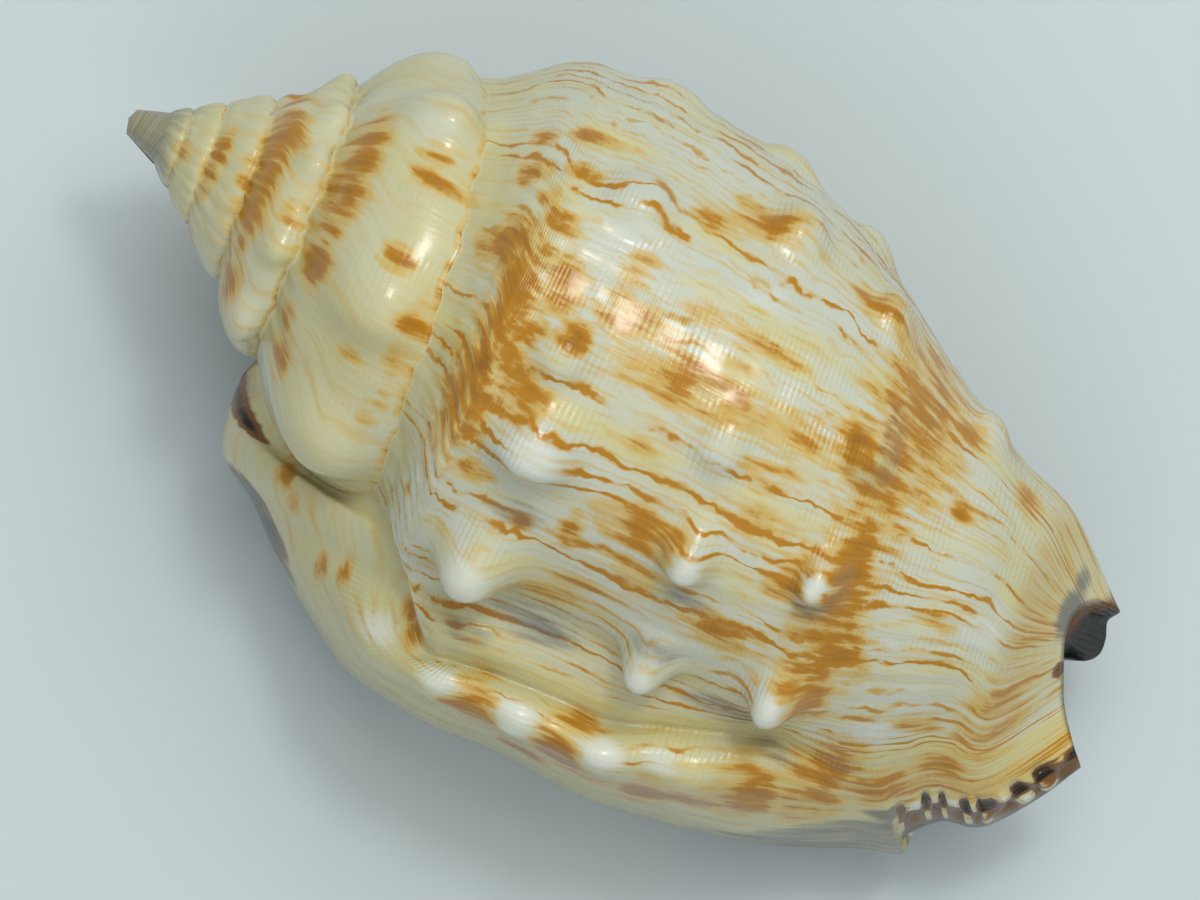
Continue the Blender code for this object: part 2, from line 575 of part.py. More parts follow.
def shell_mesh():
    """Points in millimetres and faces of the whole shell, standing on its flat spot at Z = 0."""
    skin = Skin()
    rows = np.linspace(0, 1, WHORL_ROWS + 1)[:, None]
    turns = np.linspace(MOUTH_TURN, LIP_TURN, BODY_STEPS + 1)[None, :]
    whorl_index = skin.add(raised(whorl_points(rows, turns)))
    wing_index = skin.add(raised(seated_wing(rows, np.array(WING_SHARES)[None, :])))
    wing_index[0, -1] = whorl_index[0, 0]
    skin.quads(whorl_index)
    skin.quads(np.concatenate([whorl_index[:, -1:], wing_index], axis=1))
    add_spire(skin, whorl_index, wing_index)
    add_hollow(skin, whorl_index, wing_index)
    points = skin.point_array()
    points[:, 2] = np.maximum(points[:, 2], FLAT_LEVEL)
    low, high = points.min(axis=0), points.max(axis=0)
    return points - np.array([(low[0] + high[0]) / 2, (low[1] + high[1]) / 2, low[2]]), skin.faces


def clear_scene():
    for obj in list(bpy.data.objects):
        bpy.data.objects.remove(obj, do_unlink=True)


def shell_material():
    material = bpy.data.materials.new("shell_cream")
    material.use_nodes = True
    principled = material.node_tree.nodes["Principled BSDF"]
    principled.inputs["Base Color"].default_value = SHELL_COLOUR
    principled.inputs["Roughness"].default_value = SHELL_ROUGHNESS
    principled.inputs["Metallic"].default_value = 0.0
    return material


def build_shell(collection):
    points, faces = shell_mesh()
    mesh = bpy.data.meshes.new("shell")
    mesh.from_pydata((points * MM).tolist(), [], faces)
    work = bmesh.new()
    work.from_mesh(mesh)
    loose = [vertex for vertex in work.verts if not vertex.link_faces]
    bmesh.ops.delete(work, geom=loose, context="VERTS")
    bmesh.ops.recalc_face_normals(work, faces=work.faces)
    work.to_mesh(mesh)
    work.free()
    mesh.shade_smooth()
    shell = bpy.data.objects.new("shell", mesh)
    mesh.materials.append(shell_material())
    collection.objects.link(shell)
    return shell


def main():
    clear_scene()
    collection = bpy.data.collections.new("strombus_pipus_shell")
    bpy.context.scene.collection.children.link(collection)
    build_shell(collection)


main()
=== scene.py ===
import math

import bmesh
import bpy
import numpy as np
from mathutils import Matrix, Vector


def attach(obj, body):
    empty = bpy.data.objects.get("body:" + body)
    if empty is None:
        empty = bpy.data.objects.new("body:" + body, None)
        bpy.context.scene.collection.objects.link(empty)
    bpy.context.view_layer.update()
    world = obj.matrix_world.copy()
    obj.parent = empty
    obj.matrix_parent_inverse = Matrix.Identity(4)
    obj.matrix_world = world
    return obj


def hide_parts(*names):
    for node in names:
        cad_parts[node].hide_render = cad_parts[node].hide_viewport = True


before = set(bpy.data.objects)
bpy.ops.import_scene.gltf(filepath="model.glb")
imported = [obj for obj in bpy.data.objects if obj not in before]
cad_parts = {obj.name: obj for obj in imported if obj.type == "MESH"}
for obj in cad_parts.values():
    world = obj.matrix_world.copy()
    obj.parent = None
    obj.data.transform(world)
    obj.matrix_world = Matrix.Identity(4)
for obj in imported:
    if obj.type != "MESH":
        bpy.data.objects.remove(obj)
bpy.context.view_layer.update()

metresPerMm = 0.001

# The shell's own numbers, in millimetres. Its working frame starts at the apex: X runs along the
# coiling axis to the canal, +Z to the back, -Y to the outer lip. A turn is 1.0, belly at whole numbers.
shell = {
    "growthPerTurn": 1.51,
    "firstTurn": 0.764,
    "mouthTurn": 5.764,       # where the lobe of the lip meets the spire
    "lipTurn": 6.68,          # where the whorl ends and the lip flares
    "backTurn": 6.25,
    "lobeX": 11.1,
    "lobeRadius": 7.75,
    "spireLean": 0.35,
    "leanEnd": 25.0,
    # spire whorls between their seams: (share of the length, share of the growth in radius)
    "straightProfile": [(0.0, 0.0), (0.15, 0.24), (0.35, 0.5), (0.6, 0.82), (0.8, 0.98), (1.0, 1.0)],
    "swollenProfile": [(0.0, 0.0), (0.15, 0.46), (0.35, 0.8), (0.6, 1.02), (0.8, 1.07), (1.0, 1.0)],
    "swelling": (3.4, 4.9),   # turns between which the second profile takes over
    "tipShare": 0.5,
    "tipDepth": 0.12,
    # suture ahead of the pure spiral: (turn, extra length)
    "sutureExtra": [
        (0.7, 0.0), (1.7, 0.1), (4.0, 0.25), (5.0, 0.45), (5.5, 0.5), (5.764, 0.0), (6.0, 0.4),
        (6.25, 1.2), (6.5, 3.0), (6.68, 3.1), (6.9, 3.2),
    ],
    # last whorl a quarter turn past the belly: (share from suture to canal, length, radius)
    "whorlProfile": [
        (0.0, 14.8, 9.45), (0.03, 16.0, 10.2), (0.08, 17.8, 11.5), (0.14, 19.8, 12.7),
        (0.22, 22.2, 13.3), (0.30, 25.0, 13.4), (0.40, 28.5, 13.1), (0.48, 31.2, 12.6),
        (0.56, 34.0, 11.8), (0.64, 36.8, 10.5), (0.72, 39.5, 9.0), (0.79, 42.0, 7.5),
        (0.85, 44.6, 6.1), (0.90, 47.3, 4.8), (0.95, 50.6, 3.8), (1.0, 54.7, 0.6),
    ],
    "whorlSlide": [
        (0.0, 4.5), (0.3, 0.4), (0.48, 4.0), (0.64, 4.8), (0.79, 4.2), (0.9, 3.0), (1.0, 0.0),
    ],
    "whorlWiden": [
        (0.0, 0.19), (0.3, 0.09), (0.48, 0.13), (0.64, 0.22), (0.79, 0.3), (0.9, 0.5), (1.0, 0.5),
    ],
    "whorlFlare": [
        (0.0, 0.0), (0.64, 0.04), (0.72, 0.14), (0.79, 0.25), (0.85, 0.3), (0.9, 0.3), (0.95, 0.15),
        (1.0, 0.0),
    ],
    "lateTurns": (6.05, 6.45),  # where the last whorl's early shape gives way to its late one
    "pillarStart": 0.56,
    "pillarShare": 0.7,
    "seamEase": 0.25,
    "rimEase": (0.86, 1.0),
    # edge round the canal: (turn, X, Y, Z)
    "canalRim": [
        (5.764, 54.2, -3.1, -3.5), (5.88, 55.0, -2.9, -3.9), (6.0, 55.5, -2.2, -3.9),
        (6.09, 55.4, -1.4, -3.6), (6.17, 55.1, -0.6, -3.1), (6.25, 55.4, 0.1, -2.4),
        (6.33, 54.5, 0.2, -1.4), (6.42, 53.6, -0.4, -0.4), (6.5, 53.3, -1.3, 0.2),
        (6.57, 53.5, -2.5, 0.2), (6.63, 54.0, -3.6, -0.2), (6.68, 54.6, -4.8, -0.8),
    ],
    "seatWhorl": 5,
    # where the lobe sits on the spire: (share to the lip edge, X, angle in degrees)
    "lobeSeat": [
        (0.0, 19.29, 244.8), (0.12, 19.2, 250.0), (0.3, 19.0, 256.0), (0.45, 18.0, 262.0),
        (0.6, 16.6, 266.0), (0.75, 14.6, 270.0), (0.88, 12.7, 273.0), (1.0, 11.1, 275.04),
    ],
    # groove behind the lip band: (share from suture to canal, X, Y, Z)
    "lipGroove": [
        (0.0, 19.0, -11.2, 2.6), (0.05, 21.2, -12.6, 3.9), (0.12, 23.3, -14.7, 3.6),
        (0.2, 24.9, -16.6, 3.0), (0.3, 26.8, -16.5, 3.0), (0.4, 30.5, -16.1, 3.1),
        (0.48, 34.5, -15.9, 3.0), (0.56, 38.0, -14.8, 3.1), (0.64, 41.5, -13.5, 3.0),
        (0.74, 44.5, -12.5, 2.6), (0.84, 48.0, -10.8, 2.0), (0.92, 51.5, -8.3, 1.2),
        (1.0, 55.1, -5.6, -0.7),
    ],
    # free edge of the outer lip: (share from suture to canal, X, Y, Z)
    "lipEdge": [
        (0.0, 11.1, -7.72, -0.68), (0.03, 10.5, -9.0, -2.5), (0.06, 10.7, -10.8, -4.2),
        (0.09, 11.4, -12.7, -5.7), (0.12, 13.6, -14.1, -7.0), (0.16, 16.0, -16.1, -8.2),
        (0.2, 18.8, -18.1, -9.5), (0.25, 21.8, -19.8, -10.5), (0.3, 25.5, -20.4, -11.6),
        (0.4, 30.5, -20.2, -12.1), (0.48, 35.0, -20.4, -12.2), (0.56, 38.5, -19.9, -11.9),
        (0.64, 42.5, -19.1, -10.9), (0.72, 46.5, -17.8, -9.7), (0.79, 49.8, -16.4, -8.5),
        (0.82, 51.2, -15.9, -7.9), (0.845, 50.9, -15.2, -7.3), (0.88, 52.1, -13.6, -6.0),
        (0.93, 54.4, -12.6, -4.9), (0.96, 55.9, -10.4, -3.8), (1.0, 57.2, -7.9, -3.0),
    ],
    "smallTurn": 0.01,        # a step back along the turn, from which the lip takes its heading
    "seatEase": 0.08,
    "grooveAt": 0.3,
    "grooveFall": (0.0, -0.45, -0.9),
    "grooveFade": (0.66, 0.8),
    "edgeFall": (0.2, -0.2, -1.5),
    "bandCrest": [
        (0.0, 0.0), (0.14, 0.0), (0.24, 1.1), (0.55, 1.2), (0.75, 0.8), (0.9, 0.0), (1.0, 0.0),
    ],
    "lobeDroop": [(0.0, 0.7), (0.1, 0.6), (0.22, 0.0), (1.0, 0.0)],
    "rimRound": 0.5,
    "rimStart": 0.86,
    # knobs and swellings: (X, degrees, height, half width along X, half width behind, half width ahead)
    "knobs": [
        (25.4, 235, 3.0, 1.7, 2.3, 1.1), (25.6, 204, 2.1, 1.9, 2.4, 1.2),
        (24.8, 184, 1.0, 1.3, 1.8, 1.0), (24.9, 148, 1.2, 1.6, 1.8, 1.2),
        (23.9, 100, 0.6, 1.5, 2.0, 1.6), (35.2, 243, 2.5, 1.15, 1.6, 0.85),
        (34.7, 212, 1.9, 1.1, 1.7, 0.8), (33.8, 187, 0.8, 1.2, 2.0, 1.1),
        (32.7, 133, 1.4, 1.3, 2.2, 1.3), (30.8, 97, 0.8, 1.4, 2.0, 1.4),
        (41.7, 239, 2.0, 1.1, 1.5, 0.85), (41.1, 206, 1.7, 0.95, 1.8, 0.8),
        (40.5, 173, 1.3, 1.0, 2.0, 1.2), (38.7, 133, 1.2, 1.1, 2.0, 1.3),
        (36.4, 97, 0.8, 1.1, 1.8, 1.3), (45.7, 128, 0.8, 1.0, 1.6, 1.2),
        (18.8, 95, 0.35, 1.6, 3.0, 3.0), (12.8, 97, 0.5, 2.2, 1.6, 1.4),
        (14.2, 137, 1.3, 2.0, 1.5, 1.3), (15.1, 196, 1.2, 2.4, 2.2, 1.5),
        (15.4, 240, 1.5, 2.6, 2.2, 1.8), (9.0, 90, 0.5, 0.7, 1.0, 0.9), (9.6, 135, 0.5, 0.9, 0.8, 0.8),
        (9.7, 162, 0.5, 0.9, 0.8, 0.8), (9.7, 199, 0.6, 0.9, 0.9, 0.9), (9.5, 238, 0.9, 1.1, 1.4, 1.1),
        (7.3, 96, -1.3, 0.6, 1.6, 1.6), (27.5, 357, 0.9, 5.5, 5.0, 5.0),
    ],
    "knobFoot": 0.22,         # share of a knob's height that is its wide, low foot
    "topFall": 0.8,
    "footFall": 0.35,
    "knobDepth": 2.0,         # reach of a knob inwards, times its half width behind
    "bumpWay": (0.0, -0.5, 0.86),
    # lumps along the lip: (X, Y, Z, height, half width along X, half width across)
    "lipBumps": [
        (21.8, -17.6, 1.5, 0.8, 1.6, 1.3), (26.0, -18.2, 3.2, 0.9, 1.4, 1.3),
        (30.6, -18.3, 3.4, 1.0, 1.4, 1.3), (35.2, -17.8, 3.7, 1.1, 1.4, 1.3),
        (39.6, -17.0, 3.2, 0.8, 1.4, 1.3), (26.2, -15.5, 5.0, 1.5, 2.4, 0.9),
    ],
    "flatLevel": -11.75,
    # middle of the opening: (share from suture to canal, Y, Z)
    "openingMiddle": [
        (0.0, -11.0, -3.2), (0.12, -12.2, -4.4), (0.3, -13.4, -5.4), (0.56, -12.4, -5.6),
        (0.72, -10.6, -5.0), (0.85, -8.0, -4.0), (1.0, -4.4, -2.8),
    ],
    "openingX": (14.0, 52.5),
    "tubeMiddle": 0.78,
    "canalMiddle": (52.6, -2.1, -2.5),
    "canalRows": (0.8, 0.95),
    "levelRows": (0.85, 1.0),  # rows over which the lip's wall leaves its own growth line
    "mostWall": 0.42,
    "lipWall": [(0.0, 1.5), (0.3, 1.7), (0.6, 2.7), (0.85, 2.2), (1.0, 1.3)],
    "frontWall": 0.9,
    "thinEase": (0.74, 0.88),
    "whorlWall": 1.5,
    "callus": 0.2,
    "callusEase": 0.05,
    "seatWall": 1.3,
    "seatWallEase": 0.3,
    "seatBack": 0.006,        # turns behind the seat where the hollow runs
    "rimGap": 0.25,
    "cornerEnd": 0.12,
    "canalBulge": 0.12,
    "roofTurn": 6.36,
    "rimParts": (0.3, 0.7),   # shares of the front chain where the lip's part and the roof's part end
    # sections of the hollow from the rim in: (depth, lip share or turns back, reach to canal, closing)
    "hollow": [
        (0, 1.0, 0.985, 0.0), (1, 0.92, 0.97, 0.05), (2, 0.8, 0.96, 0.12), (3, 0.66, 0.945, 0.22),
        (4, 0.5, 0.93, 0.35), (5, 0.34, 0.92, 0.48), (6, 0.18, 0.91, 0.6), (7, 0.05, 0.9, 0.72),
        (8, -0.03, 0.89, 0.84), (9, -0.07, 0.875, 0.94), (10, -0.12, 0.85, 1.0),
        (11, -0.19, 0.82, 1.0), (12, -0.27, 0.79, 1.0), (13, -0.36, 0.76, 1.0), (14, -0.46, 0.74, 1.0),
        (15, -0.56, 0.72, 1.0),
    ],
    # where the CAD's origin lies in the working frame
    "origin": (28.54635, -3.24201, -11.75),
    # mesh steps
    "traceSteps": 400,        # points of a growth line in which a length is looked up
    "whorlRows": (140, 60),   # before and after the share where the front begins
    "frontAt": 0.8,
    "bodySteps": 244,
    "wingSteps": 60,
    "spireSteps": [(8, 90), (11, 140), (16, 180), (24, 210), (34, 170)],
    "rimChain": 44,
    "wallRows": 90,
    "hollowSteps": 52,
    # fine relief: heights in millimetres
    "wrinkleHeight": 0.055,
    "wrinkleSpacing": 1.7,
    "foldHeight": 0.11,
    "foldSpacing": 1.15,
    "foldPlace": (0.1, 0.05),  # share from suture to canal, and half width
    "cordHeight": 0.015,
    "cordSpacing": 2.4,
    "seamFade": 0.03,
    "endFade": 0.04,
    "edgeFade": 0.1,
    "mouthFade": 0.05,
    "frontRows": (0.8, 0.98),
    "rimRows": (0.8, 1.0),
    "fullWidth": 4.5,         # width of a spire whorl whose relief has its full height
    "spireFade": (0.15, 0.1),
    "spireFold": (0.3, 0.35, 0.2),  # share of the height, place, half width
    "sutureDepth": 0.12,
    "sutureWidth": 0.05,
    "seamWander": 0.1,
    "wanderRows": 0.02,       # reach of that wander over the last whorl, and over a spire whorl
    "wanderShare": 0.12,
    "wanderEnds": (0.04, 0.02, 0.06),  # turns: calm by the mouth, then gap and fade before the lip
    "ribHeight": 0.15,
    "ribsPerTurn": 26,
    "ribEnd": 4.8,            # turn at which the ribs have faded out
    "ribFade": 0.8,
    "beadSpacing": 0.021,     # share of the way from suture to canal
    "beadHeight": 0.32,
    "beadRows": (0.62, 0.78),  # shares of the way over the lip
    "beadWidth": 0.055,
    "beadStart": (0.83, 0.86),
    "beadEnd": 0.03,
    "deepStart": 0.1,         # depth inside at the rim, as a share of the deepest
    "hollowGrowth": 2.0,      # growth length from section to section
    "hollowTurn": 8.0,        # turn given to all points of the hollow, beyond the lip's
    "lirae": 0.22,
    "liraeSpacing": 1.25,
    "liraeStart": (1.0, 2.5),  # sections of the hollow over which the lirae rise, then fade
    "liraeEnd": (6.5, 9.5),
    "liraeEase": (0.1, 0.06),
    "liraeDrift": 0.4,
    "arcRows": 0.1,
    "sinusShift": 0.9,        # how far the growth lines bend forward at the shoulder, times the growth
    "sinusRows": (0.08, 0.18),
    "spireSinus": 0.3,        # share of the last whorl that a spire whorl shows
    "growthStart": 0.7,
    "underLip": (0.0, 3.0, -6.0),  # from the lip's middle to a place that is surely on its inner side
    "lipGrowth": (8, 14),     # growth length of the lip behind its groove, and ahead of it
    "growthScale": 118.2,     # length of all the turns up to a turn = this times growth to the turn
    "spiralScale": 48.0,      # length from suture to canal
}


# smooth step: t squared times (3 - 2t), with t held between 0 and 1
def smooth(t):
    t = np.clip(t, 0, 1)
    return t * t * (3 - 2 * t)


# bell: e to the power of minus half the squared distance in half widths
def bell(distance):
    return np.exp(-0.5 * distance**2)


# cubic pieces through rows of (knot, value, ...), where the slope at a knot averages its two chords
def splineThrough(rows, at):
    table = np.array(rows, float)
    knots, values = table[:, 0], table[:, 1:]
    steps = np.diff(knots)[:, None]
    chords = np.diff(values, axis=0) / steps
    slopes = np.empty_like(values)
    slopes[0], slopes[-1] = chords[0], chords[-1]
    slopes[1:-1] = (chords[:-1] * steps[1:] + chords[1:] * steps[:-1]) / (steps[1:] + steps[:-1])
    at = np.asarray(at, float)
    piece = np.clip(np.searchsorted(knots, at, "right") - 1, 0, len(knots) - 2)
    step = steps[piece][..., 0]
    t = ((at - knots[piece]) / step)[..., None]
    step = step[..., None]
    found = (values[piece] * (2 * t**3 - 3 * t**2 + 1) + slopes[piece] * step * (t**3 - 2 * t**2 + t)
             + values[piece + 1] * (3 * t**2 - 2 * t**3) + slopes[piece + 1] * step * (t**3 - t**2))
    return found[..., 0] if found.shape[-1] == 1 else found


# each vector over its own length
def unit(vectors):
    return vectors / np.maximum(np.linalg.norm(vectors, axis=-1, keepdims=True), 1e-9)


# point at length x: Y is radius times sine plus the spire's lean, Z is minus radius times cosine
def placed(x, radius, turn):
    angle = 2 * math.pi * turn
    lean = shell["spireLean"] * (1 - smooth(x / shell["leanEnd"]))
    return np.stack([x, radius * np.sin(angle) + lean, -radius * np.cos(angle)], axis=-1)


# seam between whorls: length and radius both grow by the same factor every turn
def sutureAt(turn):
    grown = shell["growthPerTurn"] ** (turn - shell["mouthTurn"])
    x = shell["lobeX"] * grown + splineThrough(shell["sutureExtra"], turn)
    return x, shell["lobeRadius"] * grown


# share of the way between two limits, eased at both ends
def between(value, limits):
    return smooth((value - limits[0]) / (limits[1] - limits[0]))


# spire whorl: from one seam's radius to the next by its profile, straight at first and swollen later
def spireRadius(x, turn):
    xHere, rHere = sutureAt(turn)
    xNext, rNext = sutureAt(turn + 1)
    share = np.clip((x - xHere) / (xNext - xHere), 0, 1)
    straight = splineThrough(shell["straightProfile"], share)
    swollen = splineThrough(shell["swollenProfile"], share)
    profile = straight + (swollen - straight) * between(turn, shell["swelling"])
    return rHere + (rNext - rHere) * profile


# last whorl's length and radius: the back profile, shrunk by growth before it, slid and widened after
def whorlProfileAt(w, turn):
    xBack, rBack = np.moveaxis(splineThrough(shell["whorlProfile"], w), -1, 0)
    mouth, back, lip = shell["mouthTurn"], shell["backTurn"], shell["lipTurn"]
    grown = shell["growthPerTurn"] ** (turn - back)
    front = smooth((w - shell["pillarStart"]) / (1 - shell["pillarStart"]))
    opened = np.clip((turn - mouth) / (back - mouth), 0, 1)
    slim = shell["pillarShare"] + (1 - shell["pillarShare"]) * opened
    xEarly = xBack * (grown + (1 - grown) * front)
    rEarly = rBack * (grown * (1 - front) + slim * front)
    swept = (turn - back) / (lip - back)
    xLate = xBack + splineThrough(shell["whorlSlide"], w) * swept
    flared = splineThrough(shell["whorlFlare"], w) * np.clip(swept, 0, 1) ** 3
    rLate = rBack * (1 + splineThrough(shell["whorlWiden"], w) * swept + flared)
    late = between(turn, shell["lateTurns"])
    return xEarly + (xLate - xEarly) * late, rEarly + (rLate - rEarly) * late


# last whorl in space, eased onto the seam near w = 0 and onto the canal rim near w = 1
def whorlPoints(w, turn):
    w, turn = np.broadcast_arrays(np.asarray(w, float), np.asarray(turn, float))
    x, r = whorlProfileAt(w, turn)
    xEnd, rEnd = whorlProfileAt(np.zeros_like(w), turn)
    xSeam, rSeam = sutureAt(turn)
    near = 1 - smooth(w / shell["seamEase"])
    points = placed(x + (xSeam - xEnd) * near, r + (rSeam - rEnd) * near, turn)
    xTip, rTip = whorlProfileAt(np.ones_like(w), turn)
    rim = splineThrough(shell["canalRim"], np.clip(turn, shell["mouthTurn"], shell["lipTurn"]))
    share = between(w, shell["rimEase"])[..., None]
    return points + (rim - placed(xTip, rTip, turn)) * share


# middle line of the opening: its own Y and Z at the lip edge's X
def openingMiddle(w):
    middle = splineThrough(shell["openingMiddle"], w)
    x = splineThrough([row[:2] for row in shell["lipEdge"]], w)
    return np.concatenate([np.clip(x, *shell["openingX"])[..., None], middle], axis=-1)


# cubic curve between two points: the Hermite sum of both ends and their slopes
def hermite(start, end, leaving, arriving, t):
    return (start * (2 * t**3 - 3 * t**2 + 1) + leaving * (t**3 - 2 * t**2 + t)
            + end * (3 * t**2 - 2 * t**3) + arriving * (t**3 - t**2))


# lip: behind, a fall into the groove and a quarter wave over the band; in front, one plain curve
def wingPoints(w, u):
    w, u = np.broadcast_arrays(np.asarray(w, float), np.asarray(u, float))
    start = whorlPoints(w, shell["lipTurn"])
    groove = splineThrough(shell["lipGroove"], w)
    edge = splineThrough(shell["lipEdge"], w)
    heading = unit(start - whorlPoints(w, shell["lipTurn"] - shell["smallTurn"]))
    reach = np.linalg.norm(groove - start, axis=-1, keepdims=True)
    t = np.clip(u / shell["grooveAt"], 0, 1)[..., None]
    falling = hermite(start, groove, heading * reach, np.array(shell["grooveFall"]) * reach, t)
    v = np.clip((u - shell["grooveAt"]) / (1 - shell["grooveAt"]), 0, 1)
    droop = splineThrough(shell["lobeDroop"], w)
    out = np.sin(v * math.pi / 2)
    down = (1 - np.cos(v * math.pi / 2)) * (1 - droop) + v * droop
    arch = groove + (edge - groove) * np.stack([out, out, down], axis=-1)
    arch[..., 2] += splineThrough(shell["bandCrest"], w) * 4 * v * (1 - v) ** 2
    banded = np.where((u <= shell["grooveAt"])[..., None], falling, arch)
    span = np.linalg.norm(edge - start, axis=-1, keepdims=True)
    plain = hermite(start, edge, heading * span, np.array(shell["edgeFall"]) * span, u[..., None])
    points = banded + (plain - banded) * between(w, shell["grooveFade"])[..., None]
    curl = np.clip((v - shell["rimStart"]) / (1 - shell["rimStart"]), 0, 1)
    inward = shell["rimRound"] * (1 - np.sqrt(1 - curl**2))
    return points + unit(openingMiddle(w) - edge) * inward[..., None]


# turn of an angle on the lobe's seat: the seat's whorl plus the angle over 360
def seatTurn(degrees):
    return shell["seatWhorl"] + degrees / 360


# line where the lobe sits on the spire
def seatPoints(u):
    x, degrees = np.moveaxis(splineThrough(shell["lobeSeat"], u), -1, 0)
    turn = seatTurn(degrees)
    return placed(x, spireRadius(x, turn), turn)


# the lip with its first growth line pulled onto that seat
def seatedWing(w, u):
    w, u = np.broadcast_arrays(np.asarray(w, float), np.asarray(u, float))
    miss = seatPoints(u) - wingPoints(np.zeros_like(w), u)
    return wingPoints(w, u) + miss * (1 - smooth(w / shell["seatEase"]))[..., None]


# radius of the smooth shell at a length and an angle, on whichever whorl shows there
def surfaceRadius(x, degrees):
    turn = 6 + degrees / 360
    if turn > shell["lipTurn"]:
        turn -= 1
    if x < sutureAt(turn)[0]:
        while x < sutureAt(turn)[0]:
            turn -= 1
        return spireRadius(x, turn)
    w = np.linspace(0, 1, shell["traceSteps"])
    xAll, rAll = whorlProfileAt(w, np.full_like(w, turn))
    return np.interp(x, xAll, rAll)


# knobs: a flat-topped bell on a wider, lower one, long behind and short ahead; lip bumps: round bells
def raised(points):
    moved = points.copy()
    for x, degrees, height, wideX, wideBehind, wideAhead in shell["knobs"]:
        angle = math.radians(degrees)
        outward = np.array([0.0, math.sin(angle), -math.cos(angle)])
        onward = np.array([0.0, math.cos(angle), math.sin(angle)])
        off = points - placed(np.array(x), surfaceRadius(x, degrees), degrees / 360)
        roundOff = off @ onward
        wideRound = np.where(roundOff > 0, wideAhead, wideBehind)
        depth = (off @ outward) / (shell["knobDepth"] * wideBehind)
        distance = np.sqrt((off[..., 0] / wideX) ** 2 + (roundOff / wideRound) ** 2 + depth**2)
        top = (1 - shell["knobFoot"]) * np.exp(-shell["topFall"] * distance**3)
        foot = shell["knobFoot"] * np.exp(-shell["footFall"] * distance**2)
        moved += (height * (top + foot))[..., None] * outward
    for x, y, z, height, wideX, wide in shell["lipBumps"]:
        off = (points - np.array([x, y, z])) / np.array([wideX, wide, wide])
        lift = height * bell(np.linalg.norm(off, axis=-1))
        moved += lift[..., None] * np.array(shell["bumpWay"])
    return moved


# rows from suture to canal: even steps up to where the front begins, and closer ones after it
def rowShares():
    before, after = shell["whorlRows"]
    at = shell["frontAt"]
    return np.concatenate([np.linspace(0, at, before + 1), np.linspace(at, 1, after + 1)[1:]])


# growth coordinate: length of the turns so far, bent forward below the shoulder
def growthLength(turn, w):
    grown = shell["growthPerTurn"] ** (turn - shell["mouthTurn"] + shell["growthStart"])
    return grown * (shell["growthScale"] - shell["sinusShift"] * between(w, shell["sinusRows"]))


# uneven wave: three sines of unlike length, added and scaled to about -1 to 1
def unevenWave(a, b, seed):
    return (np.sin(a + 0.31 * b + seed) + 0.7 * np.sin(1.63 * a - 0.47 * b + 2.1 * seed)
            + 0.5 * np.sin(2.71 * a + 0.83 * b + 3.7 * seed)) / 2.2


# outward normals of a grid: cross product of its two central differences, turned away from a middle
def gridNormals(points, middle):
    across = np.gradient(points, axis=0)
    along = np.gradient(points, axis=1)
    normals = unit(np.cross(across, along))
    side = np.sign((normals * (points - middle)).sum(axis=-1).mean())
    return normals * side


# fine relief of the outside: growth wrinkles, folds at the shoulder and low spiral cords
def outerRelief(growth, spiral, fold):
    wave = 2 * math.pi / shell["wrinkleSpacing"]
    wrinkles = unevenWave(growth * wave, spiral * 0.25, 1.3)
    wrinkles = wrinkles * (0.6 + 0.4 * np.sin(spiral * 0.37 + growth * 0.11))
    folds = np.abs(np.sin(growth * math.pi / shell["foldSpacing"] + 0.6 * np.sin(spiral * 0.9))) * fold
    cords = np.cos(2 * math.pi * spiral / shell["cordSpacing"] + 0.5 * np.sin(growth * 0.21))
    return shell["wrinkleHeight"] * wrinkles + shell["foldHeight"] * folds + shell["cordHeight"] * cords


# collects the points and faces of the one closed skin; a point may be a copy with values of its own
class Skin:
    def __init__(self):
        self.points, self.values, self.faces, self.copies = [], [], [], []
        self.count = 0

    # stores a grid of points with one row of surface values for each, and returns their numbers
    def add(self, points, values):
        index = np.arange(self.count, self.count + points[..., 0].size).reshape(points.shape[:-1])
        self.points.append(points.reshape(-1, 3))
        spread = [np.broadcast_to(value, points.shape[:-1]).ravel() for value in values]
        self.values.append(np.stack(spread, -1))
        self.count += index.size
        return index

    # copies of existing points that carry other surface values
    def again(self, index, values):
        places = np.concatenate(self.points)[index]
        copy = self.add(places, values)
        self.copies.append(np.stack([copy.ravel(), np.asarray(index).ravel()], -1))
        return copy

    # two triangles for each cell of a grid of numbers
    def cells(self, index):
        a, b, c, d = index[:-1, :-1], index[1:, :-1], index[1:, 1:], index[:-1, 1:]
        self.faces += [np.stack([a, b, c], -1).reshape(-1, 3), np.stack([a, c, d], -1).reshape(-1, 3)]

    # strip between two chains: their steps are sorted by position, and each step adds one triangle
    def strip(self, first, firstAt, second, secondAt):
        middles = np.concatenate([(firstAt[1:] + firstAt[:-1]) / 2, (secondAt[1:] + secondAt[:-1]) / 2])
        order = np.argsort(middles, kind="stable")
        isFirst = order < len(first) - 1
        i = np.cumsum(isFirst) - isFirst
        j = np.cumsum(~isFirst) - ~isFirst
        i = np.minimum(i, len(first) - 1)
        j = np.minimum(j, len(second) - 1)
        one = np.stack([first[i], first[np.minimum(i + 1, len(first) - 1)], second[j]], -1)
        two = np.stack([first[i], second[np.minimum(j + 1, len(second) - 1)], second[j]], -1)
        self.faces.append(np.where(isFirst[:, None], one, two))

    # triangles from a chain to one point
    def fan(self, chain, middle):
        self.faces.append(np.stack([chain[:-1], chain[1:], np.full(len(chain) - 1, middle)], -1))


# length walked along a chain of points, as a share of the whole
def walked(points):
    steps = np.linalg.norm(np.diff(points, axis=0), axis=-1)
    return np.concatenate([[0.0], np.cumsum(steps)]) / steps.sum()


